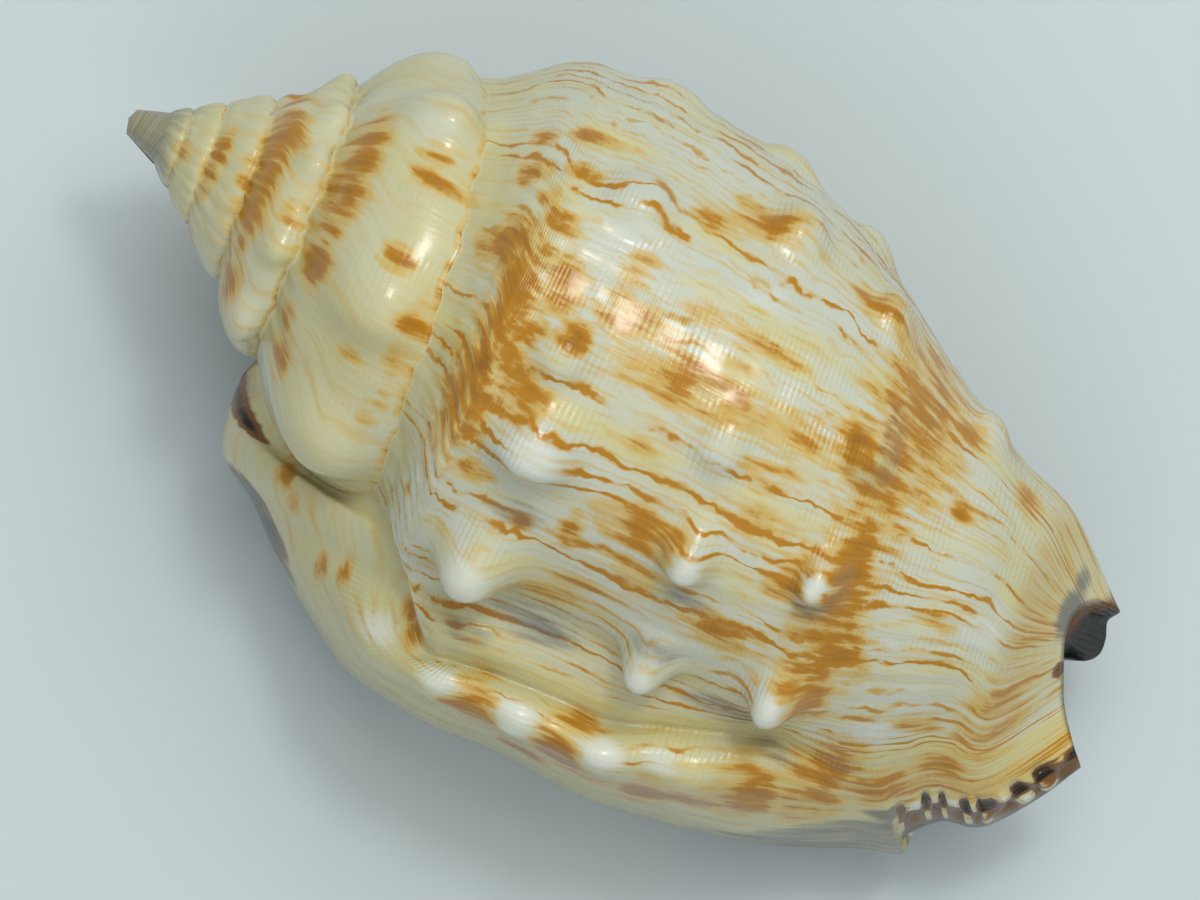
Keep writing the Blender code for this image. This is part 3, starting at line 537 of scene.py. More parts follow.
# surface values: growth and spiral coordinates, depth inside, nearness to the lip edge, side (inside, 1
# is the lip and -1 the columella; outside, 1 is the spire), nearness to the canal, turn, and share from
# seam to seam
def surfaceValues(growth, spiral, deep=0.0, rim=0.0, side=0.0, front=0.0, turn=0.0, share=0.0):
    return [growth, spiral, deep, rim, side, front, turn, share]


# sideways wander of the seam: three whole-numbered waves of the turn, so that both whorls move alike
def seamWander(turn):
    angle = 2 * math.pi * turn
    waves = np.sin(13 * angle + 1) + 0.6 * np.sin(29 * angle + 2) + 0.4 * np.sin(47 * angle)
    calm, gap, fade = shell["wanderEnds"]
    offMouth = 1 - bell((turn - shell["mouthTurn"]) / calm)
    return shell["seamWander"] * waves * offMouth * smooth((shell["lipTurn"] - gap - turn) / fade)


# last whorl: smooth grid, knobs, then fine relief along its normals that fades at the seam and canal
def bodyGrid():
    w = rowShares()[:, None]
    turn = np.linspace(shell["mouthTurn"], shell["lipTurn"], shell["bodySteps"] + 1)[None, :]
    w, turn = np.broadcast_arrays(w, turn)
    points = raised(whorlPoints(w, turn))
    growth, spiral = growthLength(turn, w), shell["spiralScale"] * w
    foldAt, foldHalf = shell["foldPlace"]
    fold = bell((w - foldAt) / foldHalf)
    fade = smooth(w / shell["seamFade"]) * smooth((1 - w) / shell["endFade"])
    fade = fade * smooth((turn - shell["mouthTurn"]) / shell["mouthFade"])
    normals = gridNormals(points, points.mean(axis=(0, 1)))
    points = points + normals * (outerRelief(growth, spiral, fold) * fade)[..., None]
    points[..., 0] += seamWander(turn) * bell(w / shell["wanderRows"])
    front = between(w, shell["frontRows"])
    return points, surfaceValues(growth, spiral, front=front, turn=turn, share=w)


# beads: cosines of unlike height along the front edge in two rows, the second half a bead on
def beads(w, u):
    along = 2 * math.pi * w / shell["beadSpacing"] + 0.9 * np.sin(w * 150) + 0.5 * np.sin(w * 331 + 1)
    over = [bell((u - row) / shell["beadWidth"]) for row in shell["beadRows"]]
    first = np.cos(along) * (0.8 + 0.3 * np.sin(w * 233)) * over[0]
    second = -np.cos(along) * (0.8 + 0.3 * np.sin(w * 277 + 2)) * over[1]
    return (first + second) * between(w, shell["beadStart"]) * smooth((1.01 - w) / shell["beadEnd"])


# lip: the same for its own grid, with the beads of its front edge on top
def lipGrid():
    w = rowShares()[:, None]
    u = np.linspace(0, 1, shell["wingSteps"] + 1)[None, 1:]
    w, u = np.broadcast_arrays(w, u)
    points = raised(seatedWing(w, u))
    u0 = shell["grooveAt"]
    behind, ahead = shell["lipGrowth"]
    growth = growthLength(shell["lipTurn"], w) + behind * np.clip(u / u0, 0, 1)
    growth = growth + ahead * np.clip((u - u0) / (1 - u0), 0, 1)
    spiral = shell["spiralScale"] * w
    fade = smooth(w / shell["endFade"]) * smooth((1 - w) / shell["endFade"])
    fade = fade * smooth((1 - u) / shell["edgeFade"])
    normals = gridNormals(points, points.mean(axis=(0, 1)) + np.array(shell["underLip"]))
    relief = outerRelief(growth, spiral, 0.0) * fade + shell["beadHeight"] * beads(w, u)
    points = points + normals * relief[..., None]
    rim, front = between(u, shell["rimRows"]), between(w, shell["frontRows"])
    values = surfaceValues(growth, spiral, rim=rim, front=front, turn=shell["lipTurn"] + u, share=w)
    return points, values


# one spire turn: rows from seam to seam, with ribs that follow the growth lines
def spireGrid(turn, rows, steps):
    share = (np.arange(rows) / rows)[:, None]
    turns = (turn + np.arange(steps) / steps)[None, :]
    xHere, xNext = sutureAt(turns)[0], sutureAt(turns + 1)[0]
    x = xHere + (xNext - xHere) * share
    turns = np.broadcast_to(turns, x.shape)
    return spireRelief(x, turns, share, xNext - xHere)


# last spire turn, whose front seam ends in the seat of the lobe
def seatedSpireGrid(rows, steps):
    share = (np.arange(rows) / rows)[:, None]
    mouth, lip = shell["mouthTurn"], shell["lipTurn"]
    free = np.arange(steps) / steps * (lip - mouth) + mouth - 1
    shares = np.arange(shell["wingSteps"]) / shell["wingSteps"]
    turns = np.concatenate([free, lip - 1 + shares * (mouth - lip + 1)])
    xHere, xNext = sutureAt(turns)[0], sutureAt(turns + 1)[0]
    seat = splineThrough(shell["lobeSeat"], shares)
    xNext[steps:] = seat[:, 0]
    turnNext = turns.copy()
    turnNext[steps:] = seatTurn(seat[:, 1])
    x = xHere + (xNext - xHere) * share
    return spireRelief(x, turns + (turnNext - turns) * share, share, xNext - xHere)


# spire surface with its knobs, ribs and a groove at the seam behind it
def spireRelief(x, turns, share, width):
    points = raised(placed(x, spireRadius(x, turns), turns))
    growth = growthLength(turns, share * shell["spireSinus"])
    spiral = share * width
    size = width / shell["fullWidth"]
    ribs = np.abs(np.sin(turns * math.pi * shell["ribsPerTurn"])) * shell["ribHeight"] * size
    ribs = ribs * smooth((shell["ribEnd"] - turns) / shell["ribFade"])
    fromBack, fromFront = shell["spireFade"]
    fade = smooth(share / fromBack) * smooth((1 - share) / fromFront)
    groove = -shell["sutureDepth"] * size * bell(share / shell["sutureWidth"])
    height, middle, half = shell["spireFold"]
    fold = height * bell((share - middle) / half)
    lift = (outerRelief(growth, spiral, fold) * np.minimum(size, 1) + ribs) * fade + groove
    angle = 2 * math.pi * turns
    outward = np.stack([np.zeros_like(angle), np.sin(angle), -np.cos(angle)], -1)
    points = points + outward * lift[..., None]
    reach = shell["wanderShare"]
    wander = seamWander(turns) * bell(share / reach) + seamWander(turns + 1) * bell((1 - share) / reach)
    points[..., 0] += wander * np.minimum(size, 1)
    return points, surfaceValues(growth, spiral, side=1.0, turn=turns, share=share)


# points moved by a thickness towards the middle of the hollow, but never past a set share of the way
def insideOf(points, middle, thickness):
    away = middle - points
    share = np.minimum(thickness / np.linalg.norm(away, axis=-1), shell["mostWall"])
    return points + away * share[..., None]


# middle of the whorl's tube, which turns into the middle of the canal at the front
def tubeMiddle(w, turn):
    tube = whorlPoints(w, turn) * np.array([1.0, shell["tubeMiddle"], shell["tubeMiddle"]])
    return tube + (np.array(shell["canalMiddle"]) - tube) * between(w, shell["canalRows"])[..., None]


# inner face of the lip: its outer face moved inwards by the wall
def wingSide(w, u):
    outer = seatedWing(w, u)
    tube = tubeMiddle(w, shell["lipTurn"])
    share = np.broadcast_to(np.asarray(u, float), outer.shape[:-1])[..., None]
    middle = tube + (openingMiddle(w) - tube) * share
    level = between(w, shell["levelRows"])
    middle[..., 0] = outer[..., 0] + (middle[..., 0] - outer[..., 0]) * level
    wall = splineThrough(shell["lipWall"], u)
    return insideOf(outer, middle, wall + (shell["frontWall"] - wall) * between(w, shell["thinEase"]))


# inner face of the last whorl
def whorlSide(w, turn):
    thinner = (shell["frontWall"] - shell["whorlWall"]) * between(w, shell["canalRows"])
    return insideOf(whorlPoints(w, turn), tubeMiddle(w, turn), shell["whorlWall"] + thinner)


# inner face along the front edge: the lip's part, the canal's roof, then straight to the columella
def rimSide(share, w, u, end):
    w = np.full_like(share, w)
    lipPart, roofPart = shell["rimParts"]
    lip = wingSide(w, u * (1 - np.clip(share / lipPart, 0, 1)))
    over = np.clip((share - lipPart) / (roofPart - lipPart), 0, 1)
    canal = whorlSide(w, shell["lipTurn"] - (shell["lipTurn"] - shell["roofTurn"]) * over)
    canal += (end - canal) * np.clip((share - roofPart) / (1 - roofPart), 0, 1)[:, None]
    return np.where((share < lipPart)[:, None], lip, canal)


# columella and the whorl below the callus, lifted by the callus before the mouth
def pillarPoints(w, turn):
    points = whorlPoints(w, turn)
    lift = shell["callus"] * smooth((shell["mouthTurn"] - turn) / shell["callusEase"])
    return points + unit(points * np.array([0.0, 1.0, 1.0])) * lift[..., None]


# one closed section of the hollow: outer wall, front chain, columella; u below 0 counts turns back;
# fine ridges point to the middle of the section and start a little behind the rim
def hollowRing(depth, u, wTop, share):
    rows = rowShares() * wTop
    if u >= 0:
        face, at = wingSide, u
        xSeat, degrees = splineThrough(shell["lobeSeat"], u)
        back = seatTurn(degrees) - shell["seatBack"]
        clear = shell["seatWall"] * smooth((1 - u) / shell["seatWallEase"]) + shell["rimGap"]
    else:
        face, at = whorlSide, shell["lipTurn"] + u
        back = shell["lipTurn"] + u - 1
        xSeat = sutureAt(back + 1)[0]
        clear = shell["seatWall"] + shell["rimGap"]
    outer = face(rows, np.full_like(rows, at))
    dense = np.linspace(0, 1, shell["traceSteps"])
    xDense = whorlPoints(dense, np.full_like(dense, back))[:, 0]
    wSeat = np.interp(xSeat + clear, xDense, dense)
    wFront = min(wTop, np.interp(outer[-1, 0], xDense, dense))
    wall = np.linspace(wFront, wSeat, shell["wallRows"] + 1)
    inner = pillarPoints(wall, np.full_like(wall, back))
    corner = (1 - np.clip(rows / shell["cornerEnd"], 0, 1))[:, None]
    kept = face(np.maximum(rows, shell["cornerEnd"]), np.full_like(rows, at))
    outer = kept + (inner[-1] - kept) * corner
    arc = np.linspace(0, 1, shell["rimChain"] + 2)[1:-1]
    bulge = shell["canalBulge"] * np.linalg.norm(inner[0] - outer[-1]) * np.sin(arc * math.pi)
    ahead = bulge[:, None] * np.array([1.0, 0.0, 0.0])
    local = outer[-1] + (inner[0] - outer[-1]) * arc[:, None] + ahead
    wide = rimSide(arc, wTop, max(u, 0.0), inner[0])
    ring = np.concatenate([outer, wide + (local - wide) * share, inner[:-1]])
    spiral = shell["spiralScale"] * np.concatenate([rows, wTop + shell["arcRows"] * arc, wall[:-1]])
    side = np.concatenate([np.ones_like(rows), np.zeros_like(arc), -np.ones_like(wall[:-1])])
    start = between(depth, shell["liraeStart"]) * (1 - between(depth, shell["liraeEnd"]))
    drift = shell["liraeDrift"] * depth
    ridge = np.maximum(np.sin(2 * math.pi * spiral / shell["liraeSpacing"] + drift), 0)
    back, front = shell["liraeEase"]
    clearOfEnds = smooth((rows - shell["cornerEnd"]) / back) * smooth((wTop - rows) / front)
    height = np.concatenate([shell["lirae"] * clearOfEnds, 0 * arc, 0 * wall[:-1]])
    ring = ring + unit(ring.mean(axis=0) - ring) * (height * ridge * start)[:, None]
    return ring, spiral, side


# surface values of a seam as the front end of the spire whorl behind it, all of that whorl's width on
def seamValues(turn):
    width = sutureAt(turn + 1)[0] - sutureAt(turn)[0]
    return surfaceValues(growthLength(turn, shell["spireSinus"]), width, side=1.0, turn=turn, share=1.0)


# all turns behind the last whorl, joined along their seams
def addSpire(skin, body, lip):
    corner = body[0, 0]
    steps = shell["spireSteps"]
    mouth, lipTurn = shell["mouthTurn"], shell["lipTurn"]
    grids = []
    for number, (rows, count) in enumerate(steps[:-1]):
        points, values = spireGrid(shell["firstTurn"] + number, rows, count)
        grids.append(skin.add(points, values))
    points, values = seatedSpireGrid(*steps[-1])
    grids.append(skin.add(points, values))
    for grid in grids:
        skin.cells(grid)
    for number, (here, after) in enumerate(zip(grids[:-1], grids[1:])):
        end = grids[number + 2][0, 0] if number + 2 < len(grids) else corner
        front = np.append(after[0], end)
        turns = np.append(np.linspace(0, 1, len(after[0]) + 1)[:-1], 1.0)
        if after is grids[-1]:
            free = steps[-1][1]
            shares = np.arange(shell["wingSteps"]) / shell["wingSteps"]
            turns = np.concatenate([np.arange(free) / free * (lipTurn - mouth),
                                    lipTurn - mouth + shares * (mouth - lipTurn + 1), [1.0]])
        copied = skin.again(front, seamValues(shell["firstTurn"] + number + turns))
        hereAt = np.arange(len(here[-1])) / len(here[-1])
        skin.strip(here[-1], hereAt, copied, turns)
        side = np.append(after[:, 0], end)
        near = np.linspace(0, 1, len(here))
        skin.strip(here[:, -1], near, side, np.linspace(0, 1, len(side)))
    last = grids[-1]
    clear = steps[-1][1] / (len(last[-1]) - 1.0)
    turns = np.concatenate([np.linspace(mouth, lipTurn, len(body[0])) - 1,
                            np.linspace(lipTurn - 1, mouth, len(lip[0]) + 1)[1:]])
    seam = skin.again(np.concatenate([body[0], lip[0]]), seamValues(turns))
    seamAt = [np.linspace(0, clear, len(body[0])), np.linspace(clear, 1, len(lip[0]) + 1)[1:]]
    seamAt = np.concatenate(seamAt)
    skin.strip(last[-1], np.linspace(0, 1, len(last[-1])), seam, seamAt)
    skin.fan(last[:, -1], corner)
    tipChain = np.concatenate([grids[0][0], [grids[1][0, 0]], grids[0][::-1, 0]])
    places = np.concatenate(skin.points)[tipChain[:-1]]
    tip = np.array([0.0, shell["spireLean"], 0.0])
    blunt = tip + (places - tip) * np.array([shell["tipDepth"], shell["tipShare"], shell["tipShare"]])
    ring = skin.add(blunt, surfaceValues(growthLength(shell["firstTurn"], 0), 0.0))
    ring = np.append(ring, ring[0])
    skin.cells(np.array([tipChain, ring]))
    skin.fan(ring, int(skin.add(tip[None, :], surfaceValues(0.0, 0.0))[0]))


# the opening and the hollow behind it, as closed sections joined to the free edge
def addHollow(skin, body, lip):
    depths = np.linspace(0, len(shell["hollow"]) - 1, shell["hollowSteps"])
    stages = splineThrough(shell["hollow"], depths)
    rings = []
    start, growth, turn = shell["deepStart"], shell["hollowGrowth"], shell["hollowTurn"]
    for depth, (u, wTop, share) in zip(depths, stages):
        ring, spiral, side = hollowRing(depth, u, wTop, share)
        deep = start + (1 - start) * depth / depths[-1]
        values = surfaceValues(depth * growth, spiral, deep=deep, side=side, turn=turn)
        rings.append(skin.add(ring, values))
    edge = np.concatenate([[body[0, 0]], lip[1:, -1]])
    front = np.concatenate([lip[-1, ::-1], body[-1, ::-1]])
    wall = body[::-1, 0]
    corner = sum(shell["whorlRows"])
    far = corner + shell["rimChain"] + 1
    first = rings[0]
    places = np.concatenate(skin.points)
    skin.cells(np.array([edge, first[: corner + 1]]))
    chain = first[corner: far + 1]
    skin.strip(front, walked(places[front]), chain, walked(places[chain]))
    closing = np.append(first[far:], first[0])
    skin.strip(wall, walked(places[wall]), closing, walked(places[closing]))
    for near, deep in zip(rings[:-1], rings[1:]):
        skin.cells(np.array([np.append(near, near[0]), np.append(deep, deep[0])]))
    last = rings[-1]
    middle = np.concatenate(skin.points)[last].mean(axis=0)
    values = surfaceValues(depths[-1] * growth, 0.0, deep=1.0, turn=turn)
    point = skin.add(middle[None, :], values)[0]
    skin.fan(np.append(last, last[0]), int(point))


# visible point over a place: of the points near it in plan, the highest
def topPoint(points, x, y):
    plan = (points[:, 0] - x) ** 2 + (points[:, 1] - y) ** 2
    least, more = marked["spotReach"]
    near = plan < max(least, math.sqrt(plan.min()) + more) ** 2
    return points[np.argmax(np.where(near, points[:, 2], -1e9))]


# the whole skin: grids stitched along shared points, copies folded onto their originals
def shellSkin():
    skin = Skin()
    body = skin.add(*bodyGrid())
    lip = skin.add(*lipGrid())
    lip[0, -1] = body[0, 0]
    skin.cells(body)
    skin.cells(np.concatenate([body[:, -1:], lip], axis=1))
    addSpire(skin, body, lip)
    addHollow(skin, body, lip)
    points = np.concatenate(skin.points)
    values = np.concatenate(skin.values)
    corners = np.concatenate(skin.faces)
    same = np.arange(len(points))
    for pairs in skin.copies:
        same[pairs[:, 0]] = pairs[:, 1]
    points[:, 2] = np.maximum(points[:, 2], shell["flatLevel"])
    points = points - np.array(shell["origin"])
    faces = same[corners]
    good = (faces[:, 0] != faces[:, 1]) & (faces[:, 1] != faces[:, 2]) & (faces[:, 2] != faces[:, 0])
    return points, values, faces[good], corners[good]


# where the colours lie on the shell, in the working frame, in millimetres
marked = {
    # orange blotches: (X, Y, half width along X, half width across, strength)
    "orange": [
        (7.3, 1.4, 0.8, 2.9, 1.0), (7.7, -3.1, 0.45, 0.6, 0.85), (8.0, -5.0, 0.5, 1.2, 0.9),
        (4.7, 0.4, 0.35, 1.5, 0.85), (3.0, -0.4, 0.4, 0.6, 0.6), (7.0, 4.9, 0.45, 0.9, 0.85),
        (11.2, 2.7, 0.8, 2.9, 0.75), (11.6, 1.7, 1.1, 0.8, 1.0), (11.6, -2.2, 1.1, 0.9, 1.0),
        (11.4, -5.4, 0.5, 0.6, 0.9), (12.0, -6.9, 0.7, 0.9, 1.0), (9.6, 0.1, 0.9, 0.7, 0.6),
        (14.4, 5.6, 0.7, 0.3, 0.9), (15.8, 4.4, 1.4, 0.45, 0.9), (15.0, 0.1, 0.75, 0.5, 0.95),
        (17.5, -2.1, 0.7, 0.7, 0.7), (15.1, -5.4, 0.7, 0.3, 0.9), (17.6, -6.5, 0.5, 3.5, 0.4),
        (19.6, 3.0, 1.6, 1.1, 1.0), (21.1, 0.7, 1.0, 2.3, 1.0), (21.2, -4.3, 1.1, 2.6, 0.95),
        (23.2, -3.5, 1.1, 1.3, 0.9), (22.9, 2.6, 1.0, 1.1, 0.8), (18.9, 8.6, 1.1, 0.4, 0.85),
        (21.0, 9.7, 1.2, 0.4, 0.9), (19.2, 6.7, 0.8, 0.6, 0.85), (21.7, 8.0, 0.8, 0.5, 0.85),
        (21.4, 5.3, 0.9, 0.5, 0.85), (20.3, 6.0, 0.6, 0.5, 0.65), (27.2, 2.3, 1.3, 0.8, 0.7),
        (31.0, 0.7, 2.7, 1.4, 0.65), (31.0, 1.5, 2.2, 0.3, 0.9), (25.9, 9.0, 0.5, 0.35, 0.75),
        (28.8, 8.6, 0.9, 0.45, 0.85), (31.0, 9.9, 1.2, 0.9, 1.0), (37.6, 8.8, 1.0, 0.7, 1.0),
        (39.6, 1.8, 1.0, 1.5, 0.95), (36.8, 1.0, 1.3, 0.9, 0.75), (30.0, -3.5, 1.1, 0.35, 0.85),
        (32.0, -7.1, 1.7, 0.9, 0.9), (32.5, -9.0, 1.2, 1.0, 0.5), (30.9, -10.6, 1.5, 0.3, 0.9),
        (39.7, -6.1, 0.9, 1.1, 0.75), (42.3, -3.8, 0.8, 3.0, 1.0), (41.9, 4.5, 2.0, 4.8, 0.8),
        (44.7, 4.9, 0.9, 0.7, 1.0), (46.2, 1.1, 0.6, 0.4, 0.9), (48.9, 3.1, 0.9, 0.7, 0.8),
        (43.2, -8.5, 1.3, 1.7, 0.9), (43.2, -11.2, 0.9, 1.4, 0.9), (45.7, -14.2, 1.3, 2.3, 1.0),
        (48.5, -13.4, 1.6, 1.1, 0.85), (52.3, -7.5, 1.2, 2.5, 0.6), (52.0, -0.7, 1.1, 3.6, 0.4),
        (28.2, -18.7, 1.0, 1.2, 1.2), (33.2, -18.9, 1.0, 1.6, 1.3), (31.5, -19.6, 1.1, 0.7, 1.0),
        (40.7, -18.0, 2.3, 0.9, 1.1), (24.0, -16.6, 0.4, 0.6, 0.95), (23.3, -15.6, 0.35, 0.6, 0.85),
        (19.5, -15.0, 0.3, 0.7, 0.8), (18.2, -15.5, 0.25, 0.7, 0.7), (14.7, -12.0, 0.3, 0.8, 0.8),
        (15.7, -13.6, 0.3, 0.6, 0.7), (13.1, -10.5, 0.3, 0.6, 0.7), (26.5, -9.2, 0.4, 0.35, 0.85),
        (28.9, -8.4, 0.45, 0.8, 0.8), (20.4, -10.0, 0.35, 0.25, 0.9), (23.7, -7.9, 0.8, 0.4, 0.7),
        (42.2, 0.0, 1.3, 3.5, 0.75), (42.4, -7.2, 1.2, 2.6, 0.75), (43.0, -10.5, 1.1, 2.2, 0.8),
        (22.0, -0.8, 1.0, 2.6, 0.75), (33.4, -7.4, 0.8, 1.0, 0.7), (37.2, -4.0, 2.4, 0.6, 0.6),
        (37.8, -18.7, 0.9, 1.6, 1.2), (42.5, -16.9, 1.3, 1.6, 1.1), (35.0, -19.4, 1.4, 0.6, 1.0),
        (29.0, -11.8, 2.0, 0.6, 0.7), (24.7, 0.4, 0.6, 0.6, 1.1), (37.8, -9.8, 1.8, 0.8, 0.65),
        (33.0, 4.3, 3.0, 0.5, 0.55), (36.5, -1.6, 2.6, 0.5, 0.55), (26.5, 5.0, 0.8, 0.8, 0.6),
        (47.5, -4.5, 2.0, 0.5, 0.55), (49.0, -9.5, 2.2, 0.6, 0.6), (50.8, -11.0, 1.2, 1.0, 0.7),
        (48.0, 7.0, 2.2, 0.7, 0.55),
    ],
    # dark brown to black spots, in the same order
    "dark": [
        (24.7, 0.4, 0.45, 0.5, 0.47), (22.0, 2.7, 0.5, 0.5, 0.4), (21.8, -3.2, 0.9, 0.7, 0.42),
        (40.9, 3.5, 0.4, 2.6, 0.42), (54.2, -3.9, 0.3, 0.4, 0.9), (54.8, -2.0, 1.5, 2.0, 2.0),
        (55.9, -8.9, 0.5, 0.7, 0.8), (54.6, -11.6, 0.5, 0.7, 0.8),
    ],
    # dark stretches of the lobe's rim: (share from suture to canal, half width as a share, strength)
    "rimDark": [(0.034, 0.012, 1.0), (0.112, 0.012, 1.2), (0.14, 0.016, 1.2)],
    # dark edge ahead of the notch: shares of the way over the lip, then share from suture to canal
    "edgeReach": (0.54, 0.6),
    "edgeStart": 0.835,
    # orange bands of the hidden side: (share from suture to canal, half width, strength)
    "bands": [(0.13, 0.035, 1.0), (0.4, 0.05, 0.8), (0.68, 0.05, 1.0)],
    "spireCream": 0.7,
    "bodyCream": 0.27,
    "callusTurn": 5.99,       # turn up to which the belly is covered by callus
    "lipEndTurn": 7.9,        # the lip's own turns end below this, and the hollow's begin above
    "spotReach": (0.35, 0.05),  # how near in plan a spot's top is sought, least and past the nearest
    "spotFall": (0.6, 1.25),  # factor and power of a spot's fall
    "flangeGrey": 0.62,
    "flangeRows": (0.42, 0.3, 0.015),  # where the grey flange begins, its rise and its fall
    "flangeTop": (0.86, 0.3, 0.5, 0.32),  # start over the lip, how much lower ahead, where, over what way
    "flangeEase": 0.1,
    "backOfBeads": (0.48, 0.83),  # orange behind the beads: share over the lip, start along it
    "rimDarkFrom": 0.72,
    "callusFront": 0.97,
    "orangeBelow": 0.9,       # how much of the orange a white top hides
    # white tops of the knobs and bumps
    "pale": [
        (25.2, -13.2, 1.5, 1.6, 1.0), (25.6, -6.6, 2.0, 1.3, 0.9), (35.2, -14.4, 0.9, 1.1, 1.0),
        (41.7, -12.2, 0.8, 0.9, 1.0), (35.2, -8.0, 0.7, 0.9, 1.0), (41.2, -5.8, 0.6, 0.9, 1.0),
        (26.0, -18.2, 1.2, 0.9, 0.9), (30.7, -18.2, 1.2, 1.0, 1.0), (35.3, -17.6, 1.3, 1.0, 1.0),
        (38.0, -16.6, 1.0, 0.8, 0.8), (22.0, -17.0, 1.2, 0.9, 0.8), (32.4, 6.6, 1.4, 0.9, 0.6),
        (25.0, 6.0, 1.8, 1.2, 0.6), (13.8, 6.6, 1.2, 1.0, 0.5), (49.5, -4.0, 1.8, 1.6, 0.6),
        (47.0, -10.8, 1.2, 1.0, 0.6),
    ],
    # grey stretches: worn grey at the apex, by the canal and on the lip, and painted shade below the
    # knobs and in the groove behind the lip band
    "grey": [
        (53.4, -1.0, 0.6, 1.1, 1.0), (53.2, 0.9, 0.5, 0.7, 0.7), (49.6, -14.5, 1.2, 0.6, 0.9),
        # from X 26 to 44 these marks are painted shade below the knobs and in the groove behind the lip
        # band
        (16.5, -16.5, 1.1, 0.8, 1.0), (29.4, -13.4, 2.3, 1.0, 0.55), (39.8, -13.2, 2.4, 0.8, 0.55),
        (35.5, -9.3, 1.5, 0.7, 0.5), (36.0, -11.8, 3.0, 0.7, 0.48), (41.3, -7.0, 1.2, 0.6, 0.48),
        (26.4, -8.8, 1.6, 0.7, 0.48), (26.8, -15.0, 1.4, 0.7, 0.5), (43.5, -13.6, 1.6, 0.7, 0.45),
        (1.4, 0.35, 2.0, 3.0, 0.7),
    ],
}


# spots: the largest of all flat-topped bells, each over the distance in its own half widths
def spotted(points, rows, spread=1.15):
    fall, power = marked["spotFall"]
    found = np.zeros(len(points))
    for x, y, halfX, halfAcross, strength in rows:
        middle = topPoint(points, x, y)
        along = (points[:, 0] - middle[0]) / (halfX * spread)
        across = np.hypot(points[:, 1] - middle[1], points[:, 2] - middle[2]) / (halfAcross * spread)
        found = np.maximum(found, strength * np.exp(-fall * (along**2 + across**2) ** power))
    return found


# marks: spots placed one by one, bands of the hidden side, dark lip edge with its beads, cream and callus
def shellMarks(points, values):
    working = points + np.array(shell["origin"])
    growth, spiral, deep = values[:, :3].T
    front, turn, share = values[:, 5:].T
    body = (turn > shell["mouthTurn"]) & (turn <= shell["lipTurn"])
    spire = turn < shell["mouthTurn"]
    onLip = (turn > shell["lipTurn"]) & (turn < marked["lipEndTurn"])
    u = turn - shell["lipTurn"]

    # orange: the spots, broken bands on the belly side of the last whorl and the spire, and the suture
    wander = unevenWave(growth * 1.3, spiral * 0.3, 0.7)
    hidden = smooth((shell["backTurn"] + 0.06 - turn) / 0.08) * body
    bands = sum(strength * bell((share - middle) / half) for middle, half, strength in marked["bands"])
    under = smooth((0.3 - np.abs((turn + 0.5) % 1.0 - 0.5)) / 0.08) * spire
    spireBand = bell((share - 0.2) / 0.12) * (0.5 + 0.8 * wander)
    beadBack, beadStart = marked["backOfBeads"]
    behindBeads = bell((u - beadBack) / 0.1) * smooth((share - beadStart) / 0.03) * onLip
    callus = smooth((marked["callusTurn"] - turn) / 0.01) * body
    callus = callus * smooth((marked["callusFront"] - share) / 0.05)
    orange = spotted(working, marked["orange"])
    for layer in (hidden * np.clip(bands * (0.55 + 0.6 * wander), 0, 1),
                  under * np.clip(spireBand, 0, 1),
                  0.45 * bell((1 - share) / 0.03) * spire):
        orange = np.maximum(orange, layer)
    orange = np.maximum(orange * (1 - callus) * (deep == 0), 0.55 * behindBeads)

    # dark: the spots, the lip edge between its beads, and stretches of the lobe's rim
    edge = between(u, marked["edgeReach"]) * smooth((share - marked["edgeStart"]) / 0.02) * onLip
    relief = beads(share, u)
    gaps = edge * smooth((0.45 - relief) / 0.4) * (0.85 + 0.3 * wander)
    dark = np.maximum(spotted(working, marked["dark"]), gaps)
    lobeRim = smooth((u - marked["rimDarkFrom"]) / 0.1) * onLip
    for middle, half, strength in marked["rimDark"]:
        dark = np.maximum(dark, strength * bell((share - middle) / half) * lobeRim)

    # pale tops share the dark channel, below 0
    pale = np.maximum(spotted(working, marked["pale"], 1.0), edge * smooth((relief - 0.3) / 0.25))
    orange = orange * (1 - marked["orangeBelow"] * pale)
    dark = np.where(dark > 0.15, dark, -pale)
    cream = np.where(spire, marked["spireCream"], marked["bodyCream"])
    cream = cream + 0.6 * smooth(u / 0.3) * (turn < marked["lipEndTurn"])
    cream = cream + (0.3 * front + 0.5 * bell(share / 0.06)) * body + 0.3 * callus - 0.6 * pale
    return np.stack([np.clip(orange, 0, 1), dark, np.clip(cream, 0, 1), callus], -1)


# grey flange: a streaked grey band along the free edge that widens up to the beads
def flangeGrey(values):
    turn, share = values[:, 6], values[:, 7]
    u = turn - shell["lipTurn"]
    at, rise, fall = marked["flangeRows"]
    along = smooth((share - at) / rise) * smooth((marked["edgeStart"] - share) / fall)
    top, lower, widenAt, widening = marked["flangeTop"]
    start = top - lower * smooth((share - widenAt) / widening)
    onLip = (turn > shell["lipTurn"]) & (turn < marked["lipEndTurn"])
    return marked["flangeGrey"] * along * smooth((u - start) / marked["flangeEase"]) * onLip


